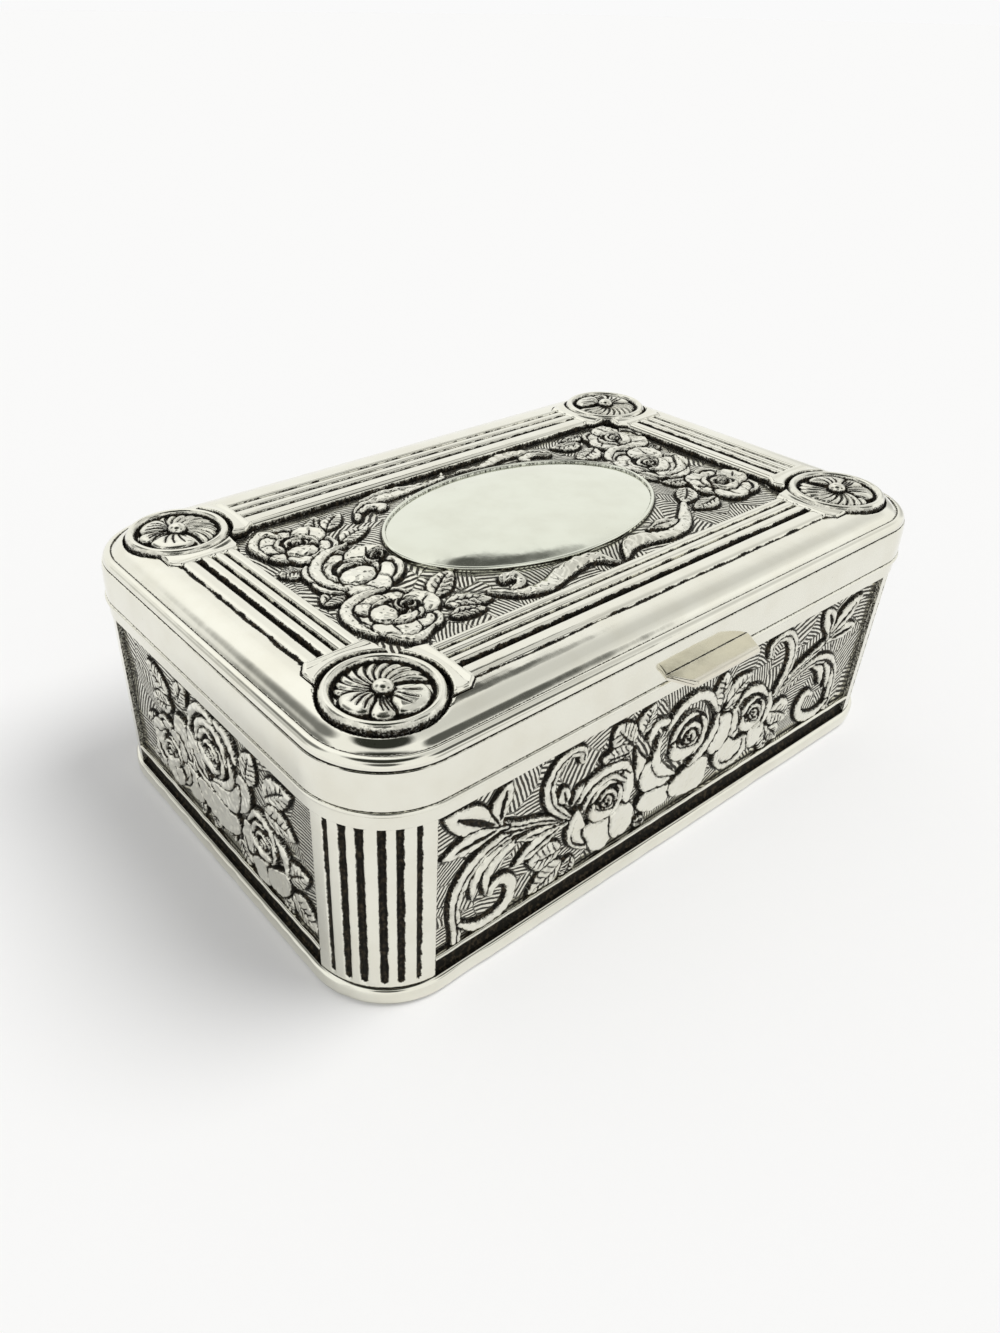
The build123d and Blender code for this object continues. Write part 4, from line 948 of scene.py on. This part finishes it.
def make_bar(name, seed):
    """One bar of the raised frame: reeds, a dished capital that flares at each end, and the rosettes' recesses."""
    turn, half_across, _, half_run = SIDES[name]
    random = np.random.default_rng(seed)
    reach = half_run - capital_reach
    fine = np.arange(reach - 1.2, half_run + 0.5, 0.22)
    middle = np.linspace(-reach + 1.2, reach - 1.2, int((2 * reach - 2.4) / 0.55) + 1)
    along = np.concatenate([-fine[::-1], middle[1:-1], fine])
    across = np.arange(frame_start - 1.8, frame_end + 1.5, 0.155)
    s, u = np.meshgrid(along, across)
    run = np.abs(s)
    grooves = BAR_GROOVES[name]
    level = np.full_like(s, reed_low)
    for first, last in zip(grooves[:-1], grooves[1:]):
        low, high = first[0] + 0.25, last[0] - 0.25
        t = np.clip(np.abs((u - (low + high) / 2) / ((high - low) / 2)), 0, 1)
        level = np.maximum(level, reed_low + (reed_high - reed_low) * (1 - t ** 3.0) ** 0.45)
    level = np.where(u > frame_end + 0.05, 57.3, level)
    clear = np.full_like(s, FAR)
    for inset, half, ragged in grooves:
        wander = wandering(random, len(along)) * ragged * 0.6
        clear = np.minimum(clear, np.abs(u - inset) - half - wander[None, :])

    points = on_side(turn, s, -(half_across - u), level)
    away = ring_distance(points[..., 0], points[..., 1])
    flare = ease(run, reach - 0.2, reach + 2.6)
    low_side, high_side = frame_start - 1.5 * flare, frame_end + 1.2 * flare
    end = run - reach
    inside = np.minimum(np.minimum(u - low_side, high_side - u), np.minimum(end, away - rosette_ring - 0.1))
    saddle = 59.62 - 0.34 * ease(np.minimum(end, away - rosette_ring), 0.3, 2.2)
    capital = saddle - 0.8 * (1 - np.sqrt(1 - (1 - np.clip(inside / 0.7, 0, 1)) ** 2))
    beyond = end > 0
    close = inside > -0.45
    outside = np.where(u < frame_start + 2, np.where(close, 58.86, 58.7), np.where(close, 57.6, 57.35))
    level = np.where(beyond, np.where(inside > 0, capital, outside), level)
    clear = np.where(beyond, np.abs(inside) + np.where(inside > 0, 0.16, -0.3), np.minimum(clear, 0.2 - end))
    pocket = 1 - ease(away, rosette_ring - 0.1, rosette_ring + 0.2)
    points[..., 2] = level * (1 - pocket) + 57.7 * pocket
    clear = np.minimum(clear, away - rosette_ring - 0.15)
    beside = np.where(beyond, inside > -0.9, (u > frame_start - 0.35) & (u < frame_end + 0.25))
    keep = beside[:-1, :-1] & (away[:-1, :-1] > rosette_radius - 1.5)
    piece("lid_bar_" + name, points, "lid_shell", *LID_PLATE, clear=clear, keep=keep, sharp=60)


def make_field():
    """The field inside the raised frame, cut out under the plaque and round the rosettes."""
    half_x, half_y = half_length - frame_end, half_width - frame_end
    step = 0.235
    x, y = np.meshgrid(np.linspace(-half_x, half_x, int(2 * half_x / step)),
                       np.linspace(-half_y, half_y, int(2 * half_y / step)))
    relief = Relief(x, y)
    draw(relief, FIELD_DRAWING)
    oval_x, oval_y = plaque_high[0], plaque_high[1]
    round_oval = (np.hypot(x / oval_x, y / oval_y) - 1) * 0.5 * (oval_x + oval_y) * 0.9
    edge = np.minimum(half_x - abs(x), half_y - abs(y))
    away = ring_distance(x, y)
    relief.high = np.clip(relief.high, LOWEST, HIGHEST)
    relief.high *= ease(round_oval, 0.1, 0.7) * ease(edge, 0.0, 0.5)
    relief.high += 0.06 * np.sin(x / 3.3) * np.sin(y / 2.9 + 0.7) * relief.ground
    relief.clear = np.minimum.reduce([relief.clear, round_oval - 0.12, edge - 0.22, away - rosette_ring - 0.2])
    swell = 1.2 * (1 - ease(round_oval, 0.3, 6.0)) * ease(edge, 0.0, 2.5)
    keep = (round_oval[:-1, :-1] > -0.6) & (away[:-1, :-1] > rosette_radius - 1.5)
    piece("lid_field", np.dstack([x, y, deck_top + relief.high + swell]), "lid_shell", *LID_RELIEF,
          clear=relief.clear, keep=keep, ground=relief.ground, hatch=hatch_phase(x, y, 5))


def make_plaque():
    """The bare oval: an upright edge, a thin rounded rim, and a smooth crown that falls quicker near the rim."""
    edge = plaque_low[2] + 1.9
    crown = plaque_high[2] - edge
    rim = round_over((0.45, edge + 0.02), 0.42, 180, 10, 10)
    bowl = np.linspace(0.0, 1.0, 44) ** 1.3
    across = np.concatenate([[0.0], rim[:, 0], 1.0 + bowl * (plaque_high[1] - 1.0)])
    level = np.concatenate([[plaque_low[2]], rim[:, 1], edge - 0.1 + (crown + 0.1) * (1 - (1 - bowl) ** 4.6)])
    turns = np.linspace(0, 2 * math.pi, 180, endpoint=False)
    rows = []
    for here, height in zip(across, level):
        reach_y = plaque_high[1] - here
        share = np.clip((here - 1.0) / (plaque_high[1] - 1.0), 0, 1)
        reach_x = (plaque_high[0] - min(here, 1.0)) * (1 - share)
        rows.append(np.column_stack([reach_x * np.cos(turns), reach_y * np.sin(turns), np.full(len(turns), height)]))
    line = np.repeat(np.where(np.abs(across - 0.95) < 0.14, 0.12, FAR)[:, None], len(turns), axis=1)
    line[0] = 0.0
    piece("oval_bare_plaque", np.array(rows), "oval_plaque", "lid", "plaque_plate", bare_oval, clear=line,
          wrap=True, sharp=50)


# The rosette's lower lobes: direction and spread in degrees, from the widest
ROSETTE_LOBES = ((-158, 62), (-52, 86), (-110, 36))
# The outline of a whorl's petal, as distance out and across, and of a lobe, as a share of its spread and distance out
WHORL_PETAL = ((1.5, 0.0), (3.2, 0.42), (5.4, 0.78), (7.4, 0.95), (8.15, 0.3), (8.1, -0.5), (7.2, -0.92), (5.0, -0.7),
               (3.0, -0.36))
WHORL_LOBE = ((-0.7, 3.0), (-1.0, 5.6), (-0.86, 7.4), (-0.4, 8.15), (0.1, 8.2), (0.6, 7.9), (0.98, 6.8), (0.9, 4.4),
              (0.3, 2.2))


def rosette_grid():
    """One rosette about its own middle: a round rim, a black hollow, a domed whorl of petals and a ball boss."""
    rings = np.concatenate([np.arange(0.0, 8.6, 0.13), np.arange(8.6, 10.8, 0.12), [10.8, 10.8]])
    turns = np.linspace(0, 2 * math.pi, 300, endpoint=False)
    angle, radius = np.meshgrid(turns, rings)
    x, y = radius * np.cos(angle), radius * np.sin(angle)
    relief = Relief(x, y)
    relief.ground[:] = 0

    def spot(reach, turn):
        return reach * math.cos(turn), reach * math.sin(turn)

    for count in range(11):
        middle = 184 - 15.6 * count
        points = [spot(reach, math.radians(middle - 24 * (reach / 8.0) ** 1.6) + across / max(reach, 2.0))
                  for reach, across in WHORL_PETAL]
        relief.lay(curve(points, closed=True, per=4), lambda away, px, py: 0.7 + 0.3 * ease(away, 0.1, 0.8),
                   edge=0.6, foot=0.35, trench=0.5, ink=0.17)
    for middle, spread in ROSETTE_LOBES:
        edge = [spot(reach, math.radians(middle + 0.5 * share * spread)) for share, reach in WHORL_LOBE]
        relief.lay(curve(edge, closed=True, per=6), lambda away, px, py: 1.15 + 0.3 * ease(away, 0.2, 1.6),
                   edge=0.7, foot=0.35, trench=0.6, ink=0.3)
        for share in (-0.5, -0.1, 0.35):
            turn = math.radians(middle + 0.5 * share * spread)
            relief.stroke(curve([spot(2.6, turn), spot(4.6, turn + 0.06), spot(6.4, turn + 0.16)]), 0.34, 0.3)
    boss, whorl_edge, rim_start, rim_middle, rim_half = 1.95, 8.3, 8.75, 9.74, 1.1
    sunk, boss_foot = 57.9, 59.55
    level = sunk + 1.15 * np.sqrt(np.clip(1 - (radius / 9.4) ** 2, 0, 1)) + 0.75 * relief.high
    clear = np.minimum(relief.clear, np.where(radius < whorl_edge, FAR, -0.3))
    rim = 58.2 + 1.6 * np.sqrt(np.clip(1 - ((radius - rim_middle) / rim_half) ** 2, 0, 1))
    level = np.where(radius > rim_start, rim, np.where(radius > whorl_edge, sunk, level))
    clear = np.where(radius > rim_start, np.minimum(radius - 8.78, 10.82 - radius), clear)
    ball = np.clip(1 - (radius / boss) ** 2, 0, 1)
    level = np.where(radius < boss, boss_foot + (boss_top - 59.6) * np.sqrt(ball), level)
    clear = np.where(radius < boss, 2.0 - radius, np.minimum(clear, np.where(radius < 4, radius - 2.25, FAR)))
    level[-1] = rosette_foot
    return x, y, level, clear


def make_rosettes():
    """The four rosettes, each turned to face its own corner."""
    x, y, level, clear = rosette_grid()
    for name, (cx, cy, _) in rosette_centres.items():
        turn = math.atan2(cy, cx) + math.radians(135)
        cos, sin = math.cos(turn), math.sin(turn)
        points = np.dstack([cx + x * cos - y * sin, cy + x * sin + y * cos, level])
        piece("rosette_" + name + "_whorl", points, "rosette_" + name, "lid", "rosette_plate", pressed,
              clear=clear, wrap=True)


# Case


def make_band():
    """The plain band under the lid, the rim and the lip that the lid closes over."""
    inner, foot = 2.2, 43.2
    profile = section([(1.6, foot), (0.5, foot + 0.05), (0.5, rim_height - 0.15), (0.62, rim_height),
                       (1.5, rim_height)],
                      [(1.5, rim_height + 1.8), (1.62, rim_height + lip_height), (2.05, rim_height + lip_height),
                       (inner, rim_height + 1.85), (inner, foot), (1.6, foot)])
    points = sweep(outline_path(), profile)
    clear = np.full(points.shape[:2], FAR)
    clear[0] = clear[1] = 0.1
    piece("case_band", points, "case_frame", *CASE_PLATE, clear=clear, wrap=True, sharp=35)


# Grooves between a corner's reeds: degrees from its middle, half the black line's width, and the depth
REED_GROOVES = ((-28.5, 0.36, 0.4), (-17.0, 0.56, 0.6), (-6.4, 0.6, 0.6), (6.4, 0.6, 0.6), (17.0, 0.56, 0.6),
                (28.5, 0.36, 0.4))


def make_corner(name, sign_x, sign_y, start, seed):
    """One reeded corner: a plain strip at each side, and grooves that die out under the band."""
    random = np.random.default_rng(seed)
    reed_inset, return_inset = 0.8, 2.15
    surface = corner_radius - reed_inset
    degrees = np.concatenate([[post_start], np.linspace(post_start, 90 - post_start, 210), [90 - post_start]])
    levels = np.concatenate([[4.0, 4.15], np.arange(4.3, 43.3, 0.5), [43.3]])
    degrees_off, height = np.meshgrid(degrees - 45, levels)
    arc = np.radians(degrees_off) * surface
    inset = np.full_like(arc, reed_inset)
    clear = np.full_like(arc, FAR)
    for angle, half, depth in REED_GROOVES:
        middle = math.radians(angle) * surface
        wander = wandering(random, len(levels))[:, None]
        end = ease(height, 4.8, 5.4) * (1 - ease(height, 43.0, 43.25))
        away = np.abs(arc - middle - 0.06 * wander)
        inset += depth * end * (1 - ease(away, 0.1, half + 0.35))
        clear = np.minimum(clear, away - (half + 0.16 * wander) * end + 2.0 * (1 - end))
    inset[:, 0] = inset[:, -1] = return_inset
    edge = np.minimum(np.abs(arc - arc[0, 0]), np.abs(arc - arc[0, -1]))
    clear = np.minimum.reduce([clear, edge + 0.1, height - 4.25, 43.35 - height])
    turn, radius = np.radians(start + degrees), corner_radius - inset
    points = np.dstack([sign_x * centre_x + radius * np.cos(turn), sign_y * centre_y + radius * np.sin(turn), height])
    piece("case_corner_" + name, points, "case_frame", *CASE_PLATE, clear=clear, sharp=60)


def make_ledges():
    """The bright ledge under each panel, the black channel below it, and the returns of the openings."""
    profile = section([(1.9, 8.95), (1.2, 8.95)], round_over((1.2, 8.5), 0.45, 100, 240, 7),
                      [(1.45, 8.0), (1.8, 7.85), (1.95, 6.6), (1.85, 4.9), (1.5, 4.2), (0.8, 4.1), (0.8, 3.95)])
    ledge_foot, channel_foot = 8.1, 4.05
    for name, (turn, half, run, _) in SIDES.items():
        s, inset = np.meshgrid(np.linspace(-run, run, 90), profile[:, 0])
        level = np.broadcast_to(profile[:, 1:], s.shape)
        dent = 0.05 * np.sin(s * 0.9 + 2) * np.sin(s * 0.23) * (level > ledge_foot)
        clear = np.where((level < ledge_foot) & (level > channel_foot), -0.4, level - ledge_foot)
        piece("case_ledge_" + name, on_side(turn, s, -(half - inset) + dent, level), "case_frame", *CASE_PLATE,
              clear=clear, sharp=50)


def make_rail():
    """The foot rail: rounded above, a little dented where it has been knocked, and rolled under."""
    bottom, top = rail_low[2], rail_high[2]
    profile = section([(3.2, 2.0), (1.7, 2.0), (1.7, bottom + 0.2), (1.3, bottom)],
                      [(0.5, bottom), (0.16, bottom + 0.25), (0.03, bottom + 0.8), (0.0, 1.6), (0.02, 2.5)],
                      round_over((1.15, 2.85), 1.13, 180, 92, 9), [(1.6, top), (3.2, top), (3.2, 2.0)])
    path = outline_path(fine=1.0, coarse=1.0)
    points = sweep(path, profile)
    x, y = points[..., 0], points[..., 1]
    level = points[..., 2]
    knock = np.sin(x * 0.31 + 1.0) * np.sin(y * 0.27 + x * 0.11) * np.sin(x * 0.07 + y * 0.9)
    push = 0.16 * np.clip(knock, 0, 1) * (level > 0.4) * (level < 3.6)
    points[..., 0] -= push * path[None, :, 2]
    points[..., 1] -= push * path[None, :, 3]
    clear = np.where(level > 3.85, 1.35 - profile[:, :1] + 0.25 * knock, FAR)
    piece("base_foot_rail", points, "base_rail", *CASE_PLATE, clear=clear, wrap=True, sharp=50)


# Thumb tab


def make_tab():
    """The tab: one strip folded back under itself, bevelled, with its slit open at the ends."""
    sheet = 0.6
    top, bottom = tab_high[2], tab_low[2]
    root_y, tip_y = -half_width + 0.9, tab_low[1]
    half_root, half_tip = tab_high[0], 9.4
    nose, middle = (top - bottom) / 2, (top + bottom) / 2

    def bend(radius, start, stop, count):
        return [(tip_y + nose - radius * math.sin(a), middle + radius * math.cos(a))
                for a in np.linspace(start, stop, count)]

    flat = [(-half_width - step, top) for step in (-0.05, 0.22, 0.5, 1.4, 2.4, 3.4)]
    outer = [(root_y, top)] + flat + bend(nose, 0, math.pi, 12) + [(root_y, bottom)]
    inner = [(root_y, bottom + sheet)] + bend(nose - sheet, math.pi, 0, 6) + [(root_y, top - sheet)]
    across = np.concatenate([[-1.0, -0.992, -0.975], np.linspace(-0.95, 0.95, 21), [0.975, 0.992, 1.0]])
    bevel = np.clip((np.abs(across) - 0.97) / 0.03, 0, 1) ** 2 * 0.1
    rows = []
    for y, z in outer + inner + outer[:1]:
        share = np.clip((y - -half_width) / (tip_y + half_width), 0, 1)
        half = half_root + (half_tip - half_root) * share
        rows.append(np.column_stack([across * half, np.full(len(across), y), z - np.sign(z - middle) * bevel]))
    points = np.array(rows)
    piece("thumb_tab_fold", points, "thumb_tab", *LID_TAB, clear=0.3 - half_width - points[..., 1], sharp=45)
    for name, side, flip in (("left", 0, False), ("right", -1, True)):
        edge = points[:, side]
        ring_out, ring_in = edge[:len(outer)], edge[len(outer):-1][::-1]
        fill = np.linspace(0, 1, len(ring_out))
        matched = np.column_stack([np.interp(fill, np.linspace(0, 1, len(ring_in)), values) for values in ring_in.T])
        piece("thumb_tab_end_" + name, np.array([ring_out, matched]), "thumb_tab", *LID_TAB, flip=flip)


# Linings


def lining(profile):
    """A section carried round the inside of the box, more coarsely than the plate."""
    return sweep(outline_path(fine=3.0, coarse=3.0, turns=16), profile)


def make_wall_lining():
    """Velvet over card round the inside of the case, with a rolled top edge."""
    inset = half_length - lining_high[0]
    inner = inset + 1.8
    low, high = lining_low[2], lining_high[2]
    profile = section([(inset, low), (inset, high - 0.5)], round_over((inset + 0.9, high - 0.9), 0.9, 180, 0, 9),
                      [(inner, 38.0), (inner - 0.12, 24.0), (inner, low), (inset, low)])
    points = lining(profile)
    x, y, z = np.moveaxis(points, -1, 0)
    soft = 0.12 * np.sin(x / 9.0 + z / 7.0) * np.sin(y / 8.0 - z / 9.0)
    points[..., 2] = np.minimum(z + 0.3 * soft * (z > low + 1), high)
    strip = (np.abs(x) < 29.0) & (y > 40) & (z > high - 9.0)
    points[..., 1] -= np.where(strip & (y > half_width - inset - 0.9), 0.62, 0.0)
    piece("case_velvet_wall", points, "wall_lining", *CASE_VELVET, wrap=True, sharp=60)


def stuffed_pad(name, node, low, high, up, finish):
    """A crowned pad with drawn-in sides, a piped seam and shallow pulls, from a swept section and a crowned top."""
    inset = half_length - high[0]
    foot, top = (low[2], high[2]) if up else (high[2], low[2])
    rise = top - foot
    stretch = [(inset + 1.0, 0.02), (inset + 0.35, 0.12), (inset + 0.02, 0.34), (inset + 0.18, 0.52),
               (inset + 0.9, 0.68), (inset + 2.4, 0.8), (inset + 5.0, 0.88), (inset + 9.0, 0.94)]
    profile = curve(stretch, per=5)
    profile[:, 0] = np.maximum(profile[:, 0], inset + 0.02)
    shares = np.linspace(0.06, 1.0, 34)
    points = closed_in(lining(profile), shares, 0.94 + 0.06 * np.sin(math.pi / 2 * np.minimum(1.0, shares * 1.6)))
    x, y = points[..., 0], points[..., 1]
    ripple = 0.025 * np.sin(x / 13.0 + 0.6) * np.sin(y / 11.0) + 0.012 * np.sin(x / 5.1 + y / 6.3)
    share = np.clip(points[..., 2] + ripple * (points[..., 2] > 0.6), 0.0, 1.0)
    points[..., 2] = foot + rise * share
    piece(name, points, node, *finish, wrap=True, flip=not up)


def make_skirt_lining():
    """Velvet ribbon round the inside of the lid's skirt."""
    inset = half_length - band_high[0]
    low, high = band_low[2], band_high[2]
    profile = section([(inset, low), (inset, high), (inset + 0.8, high), (inset + 0.8, high - 0.2)],
                      [(inset + 0.72, 51.5), (inset + 0.8, low + 0.4)],
                      round_over((inset + 0.4, low + 0.4), 0.4, 0, -180, 7))
    piece("lid_velvet_band", lining(profile), "skirt_lining", *LID_VELVET, wrap=True, sharp=60)


def make_felt():
    """The felt under the base, with a softly cut edge."""
    inset = half_length - felt_high[0]
    profile = section([(inset + 12, felt_high[2]), (inset, felt_high[2]), (inset, 0.25), (inset + 0.25, 0.0),
                       (inset + 12, 0.0)])
    piece("base_felt_sheet", closed_in(lining(profile), np.linspace(0.25, 1.0, 4), np.zeros(4)), "base_felt",
          "case", "felt", felt_material(), wrap=True, sharp=50)


# Stage, light and camera


# The studio: the backdrop's white, the floor's tone, its size in metres and how far it lies below the casket
BACKDROP = 0.956
FLOOR_TONE = 0.89
FLOOR_SIZE = 30.0
FLOOR_DROP = 0.0002
# Soft dark flags, and lamps: direction, inner and outer angle in degrees, and depth
FLAGS = (((-0.08, -0.08, 0.99), 17, 26, 0.97), ((0.50, -0.54, 0.68), 8, 17, 0.9), ((-0.42, 0.60, 0.68), 7, 19, 0.8),
         ((-0.46, -0.60, 0.65), 9, 20, 0.92), ((0.45, -0.86, 0.20), 3, 13, 0.5), ((0.50, 0.52, 0.69), 4, 7, 0.9),
         ((0.56, 0.46, 0.69), 3, 6, 0.85), ((0.61, 0.41, 0.68), 1, 5, 0.6),
         ((0.58, 0.0, 0.81), 6, 32, 0.3), ((-0.62, 0.70, 0.28), 3, 16, 0.4), ((0.93, 0.25, 0.12), 4, 18, 0.4))
LAMPS = (((0.04, 0.66, 0.75), 10, 25, 1.0), ((0.34, 0.48, 0.81), 6, 18, 1.0), ((0.70, -0.30, 0.65), 6, 18, 0.8))
# What metal mirrors: the studio's white, its lamps and its flags; and the tone that lights everything else
STUDIO_WHITE = (1.02, 1.02, 1.0, 1.0)
STUDIO_GLOW = (1.17, 1.17, 1.15, 1.0)
STUDIO_DARK = (0.003, 0.006, 0.0, 1.0)
FILL = 0.5


def grey(tone):
    return (tone, tone, tone, 1.0)


def make_stage():
    """A pale floor that keeps the casket's shadow and shows the same white as the backdrop elsewhere."""
    bpy.ops.mesh.primitive_plane_add(size=FLOOR_SIZE, location=(0.0, 0.0, -FLOOR_DROP))
    floor = bpy.context.object
    floor.name = "studio_floor"
    material, n = shader("studio_white")
    share = n.times(n.ray("Camera", "Glossy", "Transmission"), 0.2)
    lit = n.add("BsdfDiffuse", {"Color": grey(FLOOR_TONE)})
    white = n.add("Emission", {"Color": grey(1.0), "Strength": BACKDROP})
    n.add("OutputMaterial", {"Surface": n.add("MixShader", {0: share, 1: lit, 2: white})})
    floor.data.materials.append(material)


def make_world():
    """A white studio with a few soft dark flags; the camera itself sees the plain backdrop."""
    world = bpy.data.worlds.new("studio")
    bpy.context.scene.world = world
    n = Nodes(world, "Generated")
    studio = STUDIO_WHITE
    for patches, tone in ((LAMPS, STUDIO_GLOW), (FLAGS, STUDIO_DARK)):
        shade = 0.0
        for direction, inner, outer, depth in patches:
            unit = np.array(direction) / np.linalg.norm(direction)
            towards = n.add("VectorMath", {0: n.place, 1: tuple(unit)}, "Value", operation="DOT_PRODUCT")
            patch = n.ramp(towards, math.cos(math.radians(outer)), math.cos(math.radians(inner)), 0.0, depth)
            shade = n.most(shade, patch)
        studio = n.mix(shade, studio, tone)
    colour = n.mix(n.ray("Glossy"), grey(FILL), studio)
    colour = n.mix(n.ray("Camera", "Transmission"), colour, grey(BACKDROP))
    n.add("OutputWorld", {"Surface": n.add("Background", {"Color": colour, "Strength": 1.0})})


# The sun: the way towards it, its strength and how wide it looks, in degrees
SUN_WAY = (0.46, -0.26, 0.85)
SUN_STRENGTH = 2.12
SUN_WIDTH = 36.0


def make_lights():
    """One wide soft sun from the right, which throws the shadow to the left; metal shows the studio instead."""
    lamp = bpy.data.lights.new("key", "SUN")
    lamp.energy = SUN_STRENGTH
    lamp.angle = math.radians(SUN_WIDTH)
    lamp.color = (1.0, 0.995, 0.98)
    held = bpy.data.objects.new("key", lamp)
    held.location = SUN_WAY
    held.rotation_euler = Vector(SUN_WAY).to_track_quat("Z", "Y").to_euler()
    held.visible_glossy = False
    bpy.context.scene.collection.objects.link(held)


# The photograph's camera: place in millimetres, directions in degrees, focal length and centre in pixels
CAMERA_PLACE = (-142.3, -143.2, 152.1)
CAMERA_AZIMUTH = 39.33
CAMERA_DROP = 34.26
CAMERA_ROLL = 0.9
CAMERA_FOCAL = 984.1
CAMERA_CENTRE = (433.7, 672.2)


def make_camera():
    """The photograph's camera, fitted to the casket's edges."""
    azimuth, drop, roll = (math.radians(a) for a in (CAMERA_AZIMUTH, CAMERA_DROP, CAMERA_ROLL))
    ahead = np.array([math.sin(azimuth) * math.cos(drop), math.cos(azimuth) * math.cos(drop), -math.sin(drop)])
    right = np.array([math.cos(azimuth), -math.sin(azimuth), 0.0])
    up = np.cross(right, ahead)
    right, up = math.cos(roll) * right + math.sin(roll) * up, math.cos(roll) * up - math.sin(roll) * right
    data = bpy.data.cameras.new("photo_camera")
    data.sensor_fit = "AUTO"
    data.sensor_width = 36.0
    data.lens = CAMERA_FOCAL * data.sensor_width / VIEW_HEIGHT
    data.shift_x = (VIEW_WIDTH / 2 - CAMERA_CENTRE[0]) / VIEW_HEIGHT
    data.shift_y = (CAMERA_CENTRE[1] - VIEW_HEIGHT / 2) / VIEW_HEIGHT
    data.clip_start = 0.01
    camera = bpy.data.objects.new("photo_camera", data)
    turn = np.column_stack([right, up, -ahead])
    pose = Matrix(turn.tolist()).to_4x4()
    pose.translation = [value * MM for value in CAMERA_PLACE]
    camera.matrix_world = pose
    bpy.context.scene.collection.objects.link(camera)
    bpy.context.scene.camera = camera


def finish_carried_nodes():
    """Materials for the CAD nodes that stay."""
    for name, material in (("base_plate", base_metal), ("floor_card", card), ("lid_card", card),
                           ("case_hinge_leaf", hinge_metal), ("lid_hinge_leaf", hinge_metal),
                           ("hinge_pin", hinge_metal)):
        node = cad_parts[name]
        if not node.material_slots:
            node.data.materials.append(material)
        for place in node.material_slots:
            place.material = material


bpy.context.scene.view_settings.view_transform = "Standard"

make_camera()
make_stage()
make_world()
make_lights()
make_panels()
make_moulding()
for seed, side in enumerate(SIDES, 1):
    make_bar(side, seed)
make_field()
make_plaque()
make_rosettes()
make_band()
for seed, (corner, place) in enumerate(CORNERS.items(), 40):
    make_corner(corner, *place, seed)
make_ledges()
make_rail()
make_tab()
make_wall_lining()
stuffed_pad("case_velvet_floor", "floor_pad", floor_low, floor_high, True, CASE_VELVET)
stuffed_pad("lid_velvet_pad", "lid_pad", ceiling_low, ceiling_high, False, LID_VELVET)
make_skirt_lining()
make_felt()
finish_carried_nodes()
